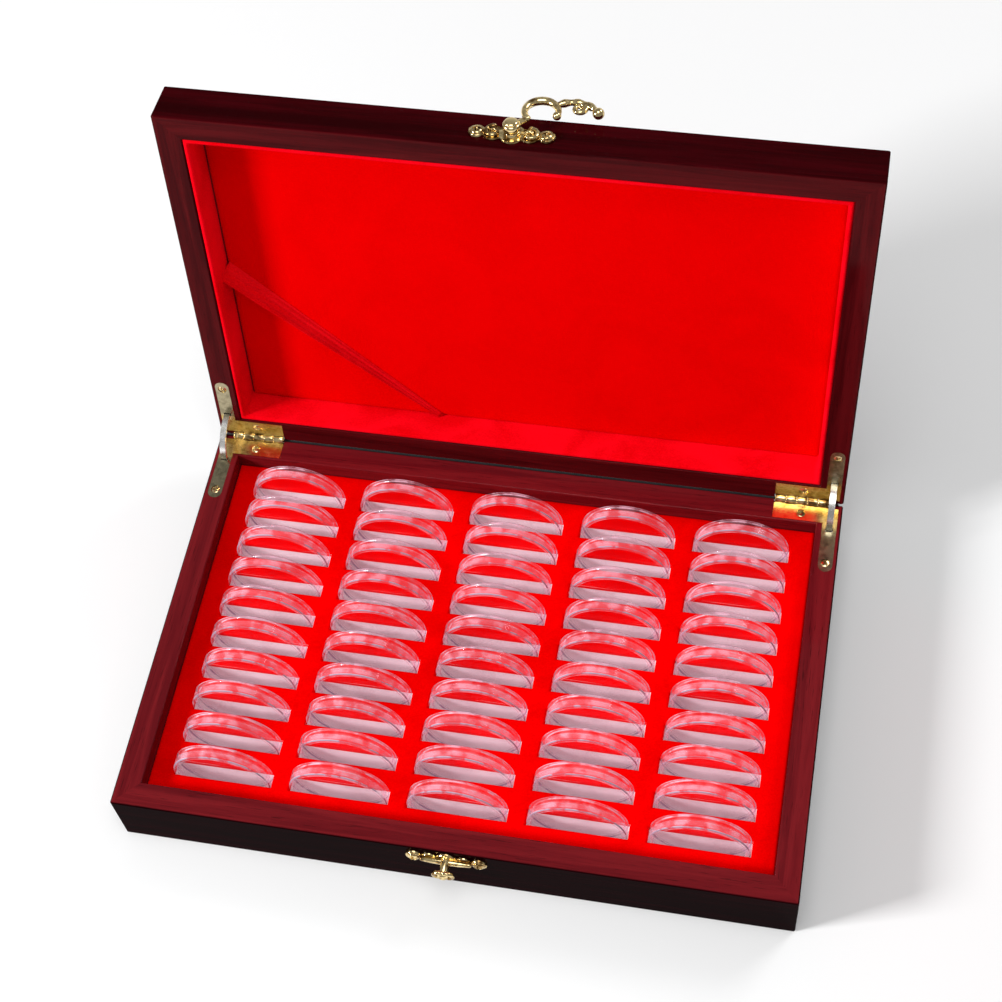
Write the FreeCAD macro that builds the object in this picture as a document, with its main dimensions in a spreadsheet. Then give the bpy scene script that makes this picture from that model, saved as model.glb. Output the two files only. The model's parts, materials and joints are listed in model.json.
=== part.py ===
"""Hinged wooden display case for fifty coins, each coin standing in a round clear capsule.

Millimetres.  The origin is the centre of the case's underside, +Z is up, -Y is the front with the
clasp and +X is the right-hand side.  Everything on the lid is drawn with the lid shut and is then
swung open about the hinge pins by lid_open degrees.
"""
import FreeCAD
import Part
import Sketcher
import os
import re

SIZES = {
    # carcass: two mitred frames, one over the other
    "box_width": 315, "box_depth": 205, "base_height": 35, "lid_height": 21,
    "wall": 12, "rim_gap": 0.2, "lid_open": 98.4, "edge_round": 1.0, "edge_bevel": 0.7, "rim_round": 0.6,
    "rebate": 5, "base_panel": 3.2, "felt": 0.8, "lid_panel": 4, "pad": 1, "lining": 2.5,
    "soft_gap": 0.3,
    # insert: a slotted foam block with a velvet face, and the capsules that stand in it
    "insert_top": 27, "velvet": 0.8, "insert_gap": 0.2,
    "capsule_radius": 23, "capsule_thick": 6.5, "capsule_centre": 27.3,
    "columns": 5, "column_pitch": 55.5, "rows": 10, "row_pitch": 16.95, "row_middle": -0.7,
    "slot_spare": 0.4, "capsule_sides": 20, "small_sides": 12, "lobe_sides": 16, "shank_sides": 8,
    # quadrant hinges: leaves let into both rims, knuckles at the back, a curved stay between
    "leaf": 1.1, "leg_width": 7, "leg_inset": 5.5, "side_leg": 38, "rear_leg": 33.3,
    "rear_leg_near": 2.6, "rear_leg_far": 11, "knuckle_radius": 2.2, "knuckle_spare": 0.4,
    "knuckle_start": 7, "knuckle_length": 5.2, "knuckle_play": 0.2, "pin_radius": 1.0,
    "pin_spare": 0.05, "stay_radius": 14.8, "stay_thick": 1.2, "stay_width": 3,
    "stay_head": 5.2, "stay_under": 6.4, "stay_head_span": 4, "stay_spare": 0.4,
    "pocket_near": 6.6, "pocket_deep": 14.2,
    "screw_head": 2.2, "head_deep": 0.7, "screw_shank": 1.0, "screw_long": 9, "screw_spare": 0.05,
    "side_screw": 33.2, "rear_screw_side": 19.8, "rear_screw_back": 7,
    # clasp: a lobed plate with a swinging hook on the lid, a horned catch on the base
    "plate": 1.4, "plate_middle": 6, "plate_eye": 4.6, "boss_radius": 3.8, "eye_side": 8, "boss_side": 15,
    "nail_head": 2.6, "nail_head_thick": 1, "nail_spare": 0.1,
    "pivot_up": 8.5, "hook_out": 5, "hook_rod": 1.5, "hook_radius": 7.2, "hook_reach": 15.5,
    "hook_open": 45, "hook_sweep": 240, "tip_radius": 1.9, "hub_radius": 3.8, "hub_thick": 3.4,
    "hub_play": 0.1, "rivet_radius": 1.5, "rivet_spare": 0.08, "rivet_head": 2.9, "rivet_head_thick": 1.2,
    "lever_side": 24.7, "lever_up": 6.8, "lever_radius": 12, "lever_rod": 1.2, "lever_start": 31,
    "lever_sweep": 97.6, "thumb_radius": 2.2, "curl_side": 26.5, "curl_up": 14.9, "curl_radius": 3,
    "catch_down": 7, "catch_middle": 5, "catch_eye": 3.6, "bar_radius": 1.3, "post_radius": 2.2,
    "post_long": 7.2, "crown_radius": 2.7, "crown_thick": 2.6, "horn_rod": 1.1, "horn_radius": 2.8,
    "horn_side": 1.6, "horn_drop": 0.6, "horn_out": 8.2, "horn_sweep": 210,
    # ribbon across the lid's rear left corner
    "ribbon_thick": 0.8, "ribbon_long": 133, "ribbon_high": 12, "ribbon_tail": 1.2, "ribbon_clear": 0.2,
    "ribbon_lean": 47.3, "ribbon_gap": 0.6, "ribbon_start": -4.8,
}
WOOD_SIDES = {"front": 0, "right": 90, "rear": 180, "left": 270}
ON_LID = ("placement(vector(0; 0; 0); rotation(vector(1; 0; 0); -lid_open);"
          " vector(0; box_depth / 2; base_height + rim_gap / 2))")

doc = FreeCAD.newDocument("coin_case")
sheet = doc.addObject("Spreadsheet::Sheet", "Sizes")
for line, (alias, value) in enumerate(SIZES.items(), 1):
    sheet.set(f"A{line}", alias)
    sheet.set(f"B{line}", str(value))
    sheet.setAlias(f"B{line}", alias)
doc.recompute()
sub_parts = []


def formula(words):
    """An expression in which every driving dimension is looked up in the sheet."""
    return re.sub(r"[a-z_]\w*", lambda found: f"Sizes.{found[0]}" if found[0] in SIZES else found[0], words)


def bind(thing, **sizes):
    """Bind properties to expressions; x, y and z are the place and a double underscore is a dot."""
    for name, words in sizes.items():
        name = f"Placement.Base.{name}" if name in "xyz" else name.replace("__", ".")
        thing.setExpression(name, formula(str(words)))
    return thing


def primitive(kind, name, turn=None, **sizes):
    """A Part primitive with its sizes and its place bound to the sheet."""
    thing = doc.addObject(f"Part::{kind}", name)
    if turn:
        thing.Placement = FreeCAD.Placement(FreeCAD.Vector(), turn)
    return bind(thing, **sizes)


def block(name, low, high, **place):
    """A box between two corners, each a triple of expressions."""
    size = dict(zip(("Length", "Width", "Height"), (f"({b}) - ({a})" for a, b in zip(low, high))))
    return primitive("Box", name, **size, **dict(zip("xyz", low)), **place)


def about_x(angle):
    return FreeCAD.Rotation(FreeCAD.Vector(1, 0, 0), angle)


def rod(name, turn, radius, length, x, y, z, sides=None):
    """A round bar from a point, or one with a few flats where it is small or often repeated."""
    place = {"Height": length, "x": x, "y": y, "z": z}
    if sides:
        return primitive("Prism", name, turn, Polygon=sides, Circumradius=radius, **place)
    return primitive("Cylinder", name, turn, Radius=radius, **place)


def rod_x(name, *sizes, sides=None):
    """A bar that runs towards the right."""
    return rod(name, FreeCAD.Rotation(FreeCAD.Vector(0, 1, 0), 90), *sizes, sides=sides)


def rod_y(name, *sizes, sides=None):
    """A bar that runs towards the front."""
    return rod(name, about_x(90), *sizes, sides=sides)


def rod_z(name, *sizes, sides=None):
    """A bar that stands up."""
    return rod(name, None, *sizes, sides=sides)


def fuse(name, pieces):
    joined = doc.addObject("Part::MultiFuse", name)
    joined.Shapes = pieces
    return joined


def cut(name, blank, tool):
    result = doc.addObject("Part::Cut", name)
    result.Base, result.Tool = blank, tool
    return result


def common(name, blank, tool):
    result = doc.addObject("Part::Common", name)
    result.Base, result.Tool = blank, tool
    return result


def mirrored(name, source):
    """The same piece on the other side of the case's middle plane."""
    twin = doc.addObject("Part::Mirroring", name)
    twin.Source, twin.Normal = source, FreeCAD.Vector(1, 0, 0)
    return twin


def keep(label, *pieces, lid=False):
    """Name the sub-part made of these pieces, and swing it open if it belongs to the lid."""
    group = doc.addObject("Part::Compound", f"{label}_node")
    group.Links = list(pieces)
    group.Label = label
    if lid:
        bind(group, Placement=ON_LID)
    sub_parts.append(group)
    return group


def origin_of(body, role):
    return next(feature for feature in body.Origin.OriginFeatures if feature.Role == role)


def sketch_on(body, name, up="0", plane="XY_Plane"):
    sketch = body.newObject("Sketcher::SketchObject", name)
    sketch.AttachmentSupport = [(origin_of(body, plane), "")]
    sketch.MapMode = "FlatFace"
    sketch.setExpression("AttachmentOffset.Base.z", formula(up))
    return sketch


def draw_rectangle(sketch, wide, deep, left, bottom):
    """A fully dimensioned rectangle; its size and its lower left corner are expressions."""
    corners = [FreeCAD.Vector(*xy, 0) for xy in ((1, 1), (9, 1), (9, 5), (1, 5))]
    lines = [sketch.addGeometry(Part.LineSegment(corners[n], corners[(n + 1) % 4])) for n in range(4)]
    for n, line in enumerate(lines):
        sketch.addConstraint(Sketcher.Constraint("Coincident", line, 2, lines[(n + 1) % 4], 1))
        sketch.addConstraint(Sketcher.Constraint("Vertical" if n % 2 else "Horizontal", line))
    sides = [
        ("DistanceX", (lines[0], 1, lines[0], 2), wide),
        ("DistanceY", (lines[1], 1, lines[1], 2), deep),
        ("DistanceX", (-1, 1, lines[0], 1), left),
        ("DistanceY", (-1, 1, lines[0], 1), bottom),
    ]
    for kind, ends, words in sides:
        number = sketch.addConstraint(Sketcher.Constraint(kind, *ends, 1.0))
        sketch.setExpression(f"Constraints[{number}]", formula(words))


def pad(body, name, sketch, length):
    feature = body.newObject("PartDesign::Pad", name)
    feature.Profile = sketch
    return bind(feature, Length=length)


def pocket(body, name, sketch, depth=None, upwards=False):
    """Cut a sketch into the body, to a depth or right through; it has to remove something."""
    before = body.Shape.Volume
    feature = body.newObject("PartDesign::Pocket", name)
    feature.Profile = sketch
    if depth:
        feature.Reversed = upwards
        bind(feature, Length=depth)
    else:
        feature.Type, feature.Midplane = "ThroughAll", True
    doc.recompute()
    assert body.Shape.Volume < before - 1, f"{name} cuts nothing"
    return feature


def dress_edges(body, name, base, test, **size):
    """Round or bevel the edges of a feature that pass a test; a Radius rounds and a Size bevels."""
    doc.recompute()
    feature = body.newObject("PartDesign::Fillet" if "Radius" in size else "PartDesign::Chamfer", name)
    feature.Base = (base, [f"Edge{n}" for n, edge in enumerate(base.Shape.Edges, 1) if test(edge)])
    return bind(feature, **size)


# ---------------------------------------------------------------- the carcass and its eight boards
def frame_blank(name, height, bottom, rebate_low, rebate_high, rim):
    """A rounded rectangular frame with a rebate for its panel, before it is parted at the mitres."""
    body = doc.addObject("PartDesign::Body", name)
    bind(body, z=bottom)
    outline = sketch_on(body, f"{name}_outline")
    draw_rectangle(outline, "box_width", "box_depth", "-box_width / 2", "-box_depth / 2")
    solid = pad(body, f"{name}_pad", outline, height)
    upright = dress_edges(body, f"{name}_rounding", solid, lambda edge: edge.BoundBox.ZLength > 1,
                          Radius="edge_round")
    dress_edges(body, f"{name}_bevel", upright, lambda edge: edge.BoundBox.ZLength < 0.01,
                Size="edge_bevel")
    doc.recompute()
    hollow = sketch_on(body, f"{name}_hollow")
    draw_rectangle(hollow, "box_width - 2 * wall", "box_depth - 2 * wall",
                   "wall - box_width / 2", "wall - box_depth / 2")
    opened = pocket(body, f"{name}_cavity", hollow)
    rim_height = sheet.get("base_height") if rim == "top" else 0
    inner_x = sheet.get("box_width") / 2 - sheet.get("wall") + 0.1
    inner_y = sheet.get("box_depth") / 2 - sheet.get("wall") + 0.1

    def at_the_rim(edge):
        box = edge.BoundBox
        level = abs(box.ZMin - rim_height) < 0.01 and box.ZLength < 0.01
        return level and max(abs(box.XMin), abs(box.XMax)) < inner_x and abs(edge.CenterOfMass.y) < inner_y

    dress_edges(body, f"{name}_rim_rounding", opened, at_the_rim, Radius="rim_round")
    doc.recompute()
    rebate = sketch_on(body, f"{name}_rebate_outline", rebate_low)
    draw_rectangle(rebate, "box_width - 2 * wall + 2 * rebate", "box_depth - 2 * wall + 2 * rebate",
                   "wall - rebate - box_width / 2", "wall - rebate - box_depth / 2")
    pocket(body, f"{name}_rebate", rebate, rebate_high, upwards=True)
    return body


def mitred_boards(prefix, blank, bottom, height, lid):
    """Part a frame along the 45 degree mitres of its corners into four boards."""
    for side, turn in WOOD_SIDES.items():
        length, across = ("box_width", "box_depth") if turn % 180 == 0 else ("box_depth", "box_width")
        wedge = primitive(
            "Wedge", f"{prefix}_{side}_region", FreeCAD.Rotation(FreeCAD.Vector(0, 0, 1), turn),
            Xmin=f"-{length} / 2 - 1", Xmax=f"{length} / 2 + 1", Ymin=f"-{across} / 2 - 1",
            Ymax=f"2 * wall - {across} / 2", X2min=f"2 * wall - {length} / 2",
            X2max=f"{length} / 2 - 2 * wall", Zmin="-1", Z2min="-1",
            Zmax=f"{height} + 1", Z2max=f"{height} + 1", z=bottom)
        keep(f"{prefix}_{side}_wall", common(f"{prefix}_{side}_board", blank, wedge), lid=lid)


# ---------------------------------------------------------------- the quadrant hinges
AXIS_Y = "box_depth / 2"
AXIS_Z = "(base_height + rim_gap / 2)"
LEG_X = "leg_inset - box_width / 2"
KNUCKLE_X = "knuckle_start - box_width / 2"
LEAF_SCREWS = (
    (LEG_X, f"{AXIS_Y} - side_screw"),
    ("rear_screw_side - box_width / 2", f"{AXIS_Y} - rear_screw_back"),
)


def leaf_outline(name, low, thick, spare="0", near="rear_leg_near"):
    """The L of a left-hand leaf: a side leg with a round end and a rear leg beside the knuckles."""
    high = f"{low} + {thick}"
    side_end = "box_depth / 2 - side_leg + leg_width / 2"
    side = block(f"{name}_side", (f"{LEG_X} - leg_width / 2 - {spare}", side_end, low),
                 (f"{LEG_X} + leg_width / 2 + {spare}", f"{AXIS_Y} - rear_leg_near", high))
    tip = rod_z(f"{name}_tip", f"leg_width / 2 + {spare}", thick, LEG_X, side_end, low)
    rear = block(f"{name}_rear", (f"{LEG_X} - leg_width / 2 - {spare}",
                                  f"{AXIS_Y} - rear_leg_far - {spare}", low),
                 (f"rear_leg - box_width / 2 + {spare}", f"{AXIS_Y} - {near}", high))
    return [side, tip, rear]


def hinge_mortises(name, low, pocket_low, shank_low):
    """Everything that the joiner cuts out of one rim for the two hinges."""
    pieces = leaf_outline(name, low, "leaf", "screw_spare", "knuckle_spare")
    pieces.append(rod_x(f"{name}_knuckles", "knuckle_radius + knuckle_spare", "5 * knuckle_length + 0.8",
                        f"{KNUCKLE_X} - 0.4", AXIS_Y, AXIS_Z))
    pieces.append(block(
        f"{name}_pocket",
        (f"{LEG_X} - stay_head / 2 - stay_spare", f"{AXIS_Y} - stay_radius - stay_thick", pocket_low),
        (f"{LEG_X} + stay_head / 2 + stay_spare", f"{AXIS_Y} - pocket_near",
         f"{pocket_low} + pocket_deep")))
    for number, (x, y) in enumerate(LEAF_SCREWS):
        pieces.append(rod_z(f"{name}_shank_{number}", "screw_shank + screw_spare",
                            "screw_long + 1", x, y, shank_low, sides="shank_sides"))
    left = fuse(f"{name}_left", pieces)
    return fuse(name, [left, mirrored(f"{name}_right", left)])


def hinge_leaf(prefix, low, head_at, head_down, knuckles, lid):
    """One pair of leaves: plate, its share of the knuckles, stay slot and countersunk holes."""
    name = f"{prefix}_leaf"
    pieces = leaf_outline(name, low, "leaf")
    for number in knuckles:
        x = f"{KNUCKLE_X} + {number} * knuckle_length + knuckle_play / 2"
        pieces.append(rod_x(f"{name}_knuckle_{number}", "knuckle_radius",
                            "knuckle_length - knuckle_play", x, AXIS_Y, AXIS_Z, sides="small_sides"))
        pieces.append(block(f"{name}_web_{number}", (x, f"{AXIS_Y} - rear_leg_near - 1", low),
                            (f"{x} + knuckle_length - knuckle_play", AXIS_Y, f"{low} + leaf")))
    holes = [rod_x(f"{name}_pin_hole", "pin_radius + pin_spare", "6 * knuckle_length",
                   f"{KNUCKLE_X} - knuckle_length / 2", AXIS_Y, AXIS_Z, sides="small_sides")]
    holes.append(block(
        f"{name}_stay_slot",
        (f"{LEG_X} - stay_width / 2 - stay_spare", f"{AXIS_Y} - stay_radius - stay_thick / 2 - stay_spare",
         f"{low} - 1"),
        (f"{LEG_X} + stay_width / 2 + stay_spare", f"{AXIS_Y} - stay_radius + stay_thick / 2 + stay_spare",
         f"{low} + leaf + 1")))
    for number, (x, y) in enumerate(LEAF_SCREWS):
        holes += screw(f"{name}_hole_{number}", x, y, head_at, head_down, "screw_spare")
    left = cut(f"{name}_left", fuse(f"{name}_blank", pieces), fuse(f"{name}_holes", holes))
    keep(f"{prefix}_hinge_leaf_left", left, lid=lid)
    keep(f"{prefix}_hinge_leaf_right", mirrored(f"{name}_right", left), lid=lid)


def screw(name, x, y, z, head_down, spare="0"):
    """The head, flush at z, and the shank of a wood screw; with a spare, the seat and the hole for it."""
    head_low, shank_low = (z, z) if head_down else (f"{z} - head_deep", f"{z} - screw_long")
    head = rod_z(f"{name}_head", f"screw_head + {spare}", "head_deep", x, y, head_low, sides="small_sides")
    shank = rod_z(f"{name}_shank", f"screw_shank + {spare}", "screw_long", x, y, shank_low,
                  sides="shank_sides")
    return [head, shank]


def hinge_screws(prefix, head_at, head_down, lid):
    left = [fuse(f"{prefix}_screw_{number}", screw(f"{prefix}_screw_{number}", x, y, head_at, head_down))
            for number, (x, y) in enumerate(LEAF_SCREWS)]
    right = [mirrored(f"{one.Name}_right", one) for one in left]
    keep(f"{prefix}_hinge_screws", *left, *right, lid=lid)


def stay(name, side):
    """The curved stay: a strip bent about the hinge pin, with a T head at each end."""
    body = doc.addObject("PartDesign::Body", f"{name}_strip_body")
    span = "(lid_open + 2 * stay_under + 2 * stay_head_span)"
    strip = sketch_on(body, f"{name}_strip")
    draw_rectangle(strip, "stay_head", "stay_thick", "-stay_head / 2", "-stay_radius - stay_thick / 2")
    bent = body.newObject("PartDesign::Revolution", f"{name}_bend")
    bent.Profile, bent.ReferenceAxis, bent.Midplane = strip, (origin_of(body, "X_Axis"), [""]), True
    bind(bent, Angle=span)
    doc.recompute()
    for number, left in enumerate(("-stay_head / 2 - 1", "stay_width / 2")):
        before = body.Shape.Volume
        waist = sketch_on(body, f"{name}_waist_{number}")
        draw_rectangle(waist, "(stay_head - stay_width) / 2 + 1", "stay_thick + 2", left,
                       "-stay_radius - stay_thick / 2 - 1")
        groove = body.newObject("PartDesign::Groove", f"{name}_groove_{number}")
        groove.Profile, groove.ReferenceAxis, groove.Midplane = waist, (origin_of(body, "X_Axis"), [""]), True
        bind(groove, Angle=f"{span} - 2 * stay_head_span")
        doc.recompute()
        assert body.Shape.Volume < before - 1, "the stay's groove cuts nothing"
    body.Placement = FreeCAD.Placement(FreeCAD.Vector(), about_x(-1))
    bind(body, Placement=f"placement(vector({side} * (box_width / 2 - leg_inset); {AXIS_Y}; {AXIS_Z});"
                         " rotation(vector(1; 0; 0); -lid_open / 2))")
    keep(name, body)


def hinges():
    leaf_low = {"base": "(base_height - leaf)", "lid": "(base_height + rim_gap)"}
    hinge_leaf("base", leaf_low["base"], "base_height", False, (0, 2, 4), lid=False)
    hinge_leaf("lid", leaf_low["lid"], "(base_height + rim_gap)", True, (1, 3), lid=True)
    hinge_screws("base", "base_height", False, lid=False)
    hinge_screws("lid", "(base_height + rim_gap)", True, lid=True)
    pin = rod_x("pin_rod", "pin_radius", "5 * knuckle_length", KNUCKLE_X, AXIS_Y, AXIS_Z)
    keep("hinge_pin_left", pin)
    keep("hinge_pin_right", mirrored("pin_rod_right", pin))
    stay("stay_left", -1)
    stay("stay_right", 1)


# ---------------------------------------------------------------- the clasp
FACE = "-box_depth / 2"
LID_RIM = "(base_height + rim_gap)"
PIVOT_Z = f"({LID_RIM} + pivot_up)"
CATCH_Z = "(base_height - catch_down)"


def plate_discs(name, middle_z, middle, eye):
    """Overlapping lobes along a clasp plate: the middle, an eye and an end boss on each side."""
    places = [("0", middle)]
    for side in (-1, 1):
        places += [(f"{side} * eye_side", eye), (f"{side} * boss_side", "boss_radius")]
    return [rod_y(f"{name}_lobe_{number}", radius, "plate", x, FACE, middle_z, sides="lobe_sides")
            for number, (x, radius) in enumerate(places)]


def front_arc(name, radius, rod_radius, thick, x, middle_y, z, sweep, start):
    """A flat bar bent to part of a ring, in a plane parallel to the front face."""
    turn = about_x(90).multiply(FreeCAD.Rotation(FreeCAD.Vector(0, 0, 1), start))
    outer = primitive("Cylinder", f"{name}_outer", turn, Radius=f"{radius} + {rod_radius}", Height=thick,
                      Angle=sweep, x=x, y=f"{middle_y} + {thick} / 2", z=z)
    inner = rod_y(f"{name}_inner", f"{radius} - {rod_radius}", f"{thick} + 2", x,
                  f"{middle_y} + {thick} / 2 + 1", z)
    return cut(name, outer, inner)


def nails(name, z):
    """The two flat-headed nails of a clasp plate."""
    pieces = []
    for side in (-1, 1):
        head = rod_y(f"{name}_{side}_head", "nail_head", "nail_head_thick", f"{side} * boss_side",
                     f"{FACE} - plate", z, sides="small_sides")
        shank = rod_y(f"{name}_{side}_shank", "screw_shank", "screw_long", f"{side} * boss_side",
                      f"{FACE} + screw_long - plate - nail_head_thick / 2", z, sides="shank_sides")
        pieces.append(fuse(f"{name}_{side}", [head, shank]))
    return pieces


def nail_holes(name, z):
    """Nail holes through a clasp plate and into the board behind it."""
    return [rod_y(f"{name}_{side}", "screw_shank + nail_spare", "screw_long + 3", f"{side} * boss_side",
                  f"{FACE} + screw_long", z, sides="shank_sides") for side in (-1, 1)]


def rivet_hole(name, behind):
    """The bore for the clasp's rivet, from a depth behind the face to well in front of it."""
    return rod_y(name, "rivet_radius + rivet_spare", f"{behind} + 3 * hook_out", "0",
                 f"{FACE} + {behind}", PIVOT_Z)


def clasp_on_lid():
    collar = rod_y("pivot_collar", "hub_radius - 0.4", "hook_out - hub_thick / 2 - hub_play", "0", FACE,
                   PIVOT_Z, sides="small_sides")
    blank = fuse("lid_plate_blank",
                 plate_discs("lid_plate", PIVOT_Z, "plate_middle", "plate_eye") + [collar])
    holes = fuse("lid_plate_holes", nail_holes("lid_plate_hole", PIVOT_Z) + [rivet_hole("plate_bore", "2")])
    keep("clasp_lid_plate", cut("lid_plate_cut", blank, holes), lid=True)
    keep("clasp_lid_screws", *nails("lid_nail", PIVOT_Z), lid=True)
    shank = rod_y("rivet_shank", "rivet_radius", "6 + hook_out + hub_thick / 2 + hub_play + 0.5", "0",
                  f"{FACE} + 6", PIVOT_Z)
    head = rod_y("rivet_cap", "rivet_head", "rivet_head_thick", "0",
                 f"{FACE} - hook_out - hub_thick / 2 - hub_play", PIVOT_Z, sides="small_sides")
    keep("clasp_pivot", fuse("rivet", [shank, head]), lid=True)


def clasp_hook():
    """The swinging hook: hub, arm, a horn-shaped C and a curled thumb lever with a ball end."""
    bow = ("(hook_reach * cos(hook_open))", f"({PIVOT_Z} + hook_reach * sin(hook_open))")
    lever_z = f"({PIVOT_Z} + lever_up)"
    middle = f"({FACE} - hook_out)"
    thick = "2 * hook_rod"
    front = f"{middle} + hook_rod"
    hub = rod_y("hook_hub", "hub_radius", "hub_thick", "0", f"{middle} + hub_thick / 2", PIVOT_Z,
                sides="lobe_sides")
    lean = FreeCAD.Rotation(FreeCAD.Vector(0, 1, 0), 90 - SIZES["hook_open"])
    arm = rod("hook_arm", lean, "hook_rod", "hook_reach - hook_radius + hook_rod / 2", "0", middle,
              PIVOT_Z, sides="shank_sides")
    start = 180 + SIZES["hook_open"] - SIZES["hook_sweep"]
    ring = front_arc("hook_bow", "hook_radius", "hook_rod", thick, bow[0], middle, bow[1],
                     "hook_sweep", start)
    tip = rod_y("hook_tip", "tip_radius", thick, f"{bow[0]} + hook_radius * cos({start})", front,
                f"{bow[1]} + hook_radius * sin({start})", sides="small_sides")
    lever = front_arc("hook_lever", "lever_radius", "lever_rod", "2 * lever_rod", "lever_side", middle,
                      lever_z, "lever_sweep", SIZES["lever_start"])
    thumb = rod_y("hook_thumb", "thumb_radius", thick, "lever_side + lever_radius * cos(lever_start)",
                  front, f"{lever_z} + lever_radius * sin(lever_start)", sides="small_sides")
    curl = rod_y("hook_curl", "curl_radius", "2 * lever_rod", "curl_side", f"{middle} + lever_rod",
                 f"{PIVOT_Z} + curl_up", sides="small_sides")
    blank = fuse("hook_blank", [hub, arm, ring, tip, lever, thumb, curl])
    keep("clasp_hook", cut("hook_cut", blank, rivet_hole("hook_bore", "2")), lid=True)


def clasp_on_base():
    bar = rod_x("catch_bar", "bar_radius", "2 * (boss_side - boss_radius)", "boss_radius - boss_side",
                f"{FACE} - plate", CATCH_Z, sides="shank_sides")
    post = rod_y("catch_post", "post_radius", "post_long", "0", FACE, CATCH_Z, sides="small_sides")
    crown = rod_y("catch_crown", "crown_radius", "crown_thick", "0", f"{FACE} - post_long", CATCH_Z,
                  sides="small_sides")
    horns = [front_arc(f"catch_horn_{side}", "horn_radius", "horn_rod", "2 * horn_rod",
                       f"{side} * horn_side", f"({FACE} - horn_out)", f"{CATCH_Z} - horn_drop",
                       "horn_sweep", start) for side, start in ((-1, 10), (1, -40))]
    discs = plate_discs("catch_plate", CATCH_Z, "catch_middle", "catch_eye")
    blank = fuse("catch_blank", discs + [bar, post, crown] + horns)
    keep("clasp_catch", cut("catch_cut", blank, fuse("catch_holes", nail_holes("catch_hole", CATCH_Z))))
    keep("clasp_catch_screws", *nails("catch_nail", CATCH_Z))


# ---------------------------------------------------------------- insert, linings and capsules
def slotted_sheet(name, low, thick):
    """A sheet that fills the case inside, with one slot for each capsule."""
    body = doc.addObject("PartDesign::Body", f"{name}_sheet")
    bind(body, z=low)
    outline = sketch_on(body, f"{name}_outline")
    draw_rectangle(outline, "box_width - 2 * wall - 2 * insert_gap", "box_depth - 2 * wall - 2 * insert_gap",
                   "wall + insert_gap - box_width / 2", "wall + insert_gap - box_depth / 2")
    pad(body, f"{name}_pad", outline, thick)
    doc.recompute()
    slot = sketch_on(body, f"{name}_slot")
    draw_rectangle(slot, "2 * capsule_radius + 2 * slot_spare", "capsule_thick + 2 * slot_spare",
                   "-column_pitch * (columns - 1) / 2 - capsule_radius - slot_spare",
                   "row_middle - row_pitch * (rows - 1) / 2 - capsule_thick / 2 - slot_spare")
    first = pocket(body, f"{name}_first_slot", slot)
    grid = body.newObject("PartDesign::LinearPattern", f"{name}_grid")
    grid.Originals = [first]
    grid.Direction, grid.Direction2 = (origin_of(body, "X_Axis"), [""]), (origin_of(body, "Y_Axis"), [""])
    bind(grid, Length="column_pitch * (columns - 1)", Occurrences="columns",
         Length2="row_pitch * (rows - 1)", Occurrences2="rows")
    body.Tip = grid
    keep(name, body)


def capsules():
    """Five closed capsules to a row, standing on edge in their slots."""
    for row in range(SIZES["rows"]):
        discs = []
        for column in range(SIZES["columns"]):
            y = f"row_middle + row_pitch * ({row} - (rows - 1) / 2) + capsule_thick / 2"
            discs.append(rod_y(f"capsule_{row}_{column}", "capsule_radius", "capsule_thick",
                               f"column_pitch * ({column} - (columns - 1) / 2)", y, "capsule_centre",
                               sides="capsule_sides"))
        keep(f"capsules_row_{row + 1:02d}", *discs)


def base_inside():
    inside_x, inside_y = "(box_width / 2 - wall + rebate)", "(box_depth / 2 - wall + rebate)"
    keep("base_felt", block("felt_sheet", (f"-{inside_x} + 0.1", f"-{inside_y} + 0.1", "0"),
                            (f"{inside_x} - 0.1", f"{inside_y} - 0.1", "felt")))
    keep("base_bottom_panel", block("bottom_board", (f"-{inside_x}", f"-{inside_y}", "felt"),
                                    (inside_x, inside_y, "felt + base_panel")))
    slotted_sheet("insert_foam", "felt + base_panel", "insert_top - velvet - felt - base_panel")
    slotted_sheet("insert_velvet", "insert_top - velvet", "velvet")


def lid_inside():
    lid_top = f"({LID_RIM} + lid_height)"
    inside_x, inside_y = "(box_width / 2 - wall)", "(box_depth / 2 - wall)"
    ceiling = f"({lid_top} - lid_panel - pad)"
    keep("lid_top_panel", block("lid_board", (f"-{inside_x} - rebate", f"-{inside_y} - rebate",
                                              f"{lid_top} - lid_panel"),
                                (f"{inside_x} + rebate", f"{inside_y} + rebate", lid_top)), lid=True)
    keep("lid_panel_pad", block("lid_pad", (f"-{inside_x} + lining", f"-{inside_y} + lining", ceiling),
                                (f"{inside_x} - lining", f"{inside_y} - lining", f"{lid_top} - lid_panel")),
         lid=True)
    low, high = f"{LID_RIM} + soft_gap", f"{lid_top} - lid_panel"
    for side, near in (("left", f"-{inside_x}"), ("right", f"{inside_x} - lining")):
        keep(f"lid_lining_{side}", block(f"lining_{side}", (near, f"-{inside_y}", low),
                                         (f"{near} + lining", inside_y, high)), lid=True)
    for side, near in (("front", f"-{inside_y}"), ("rear", f"{inside_y} - lining")):
        keep(f"lid_lining_{side}", block(f"lining_{side}", (f"-{inside_x} + lining", near, low),
                                         (f"{inside_x} - lining", f"{near} + lining", high)), lid=True)


def lid_ribbon():
    """A flat ribbon across the lid's rear left corner, standing at the side and tucked in at the rear."""
    turn = FreeCAD.Rotation(FreeCAD.Vector(0, 0, 1), -SIZES["ribbon_lean"])
    strip = primitive("Wedge", "ribbon_strip", turn, Xmin="0", X2min="0", Xmax="ribbon_thick",
                      X2max="ribbon_thick", Ymin="0", Ymax="ribbon_long", Zmin="-ribbon_high",
                      Z2min="-ribbon_tail", Zmax="-ribbon_clear", Z2max="-ribbon_clear",
                      x="wall + lining + ribbon_gap - box_width / 2", y="ribbon_start",
                      z=f"{LID_RIM} + lid_height - lid_panel - pad")
    keep("lid_ribbon", strip, lid=True)


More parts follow.
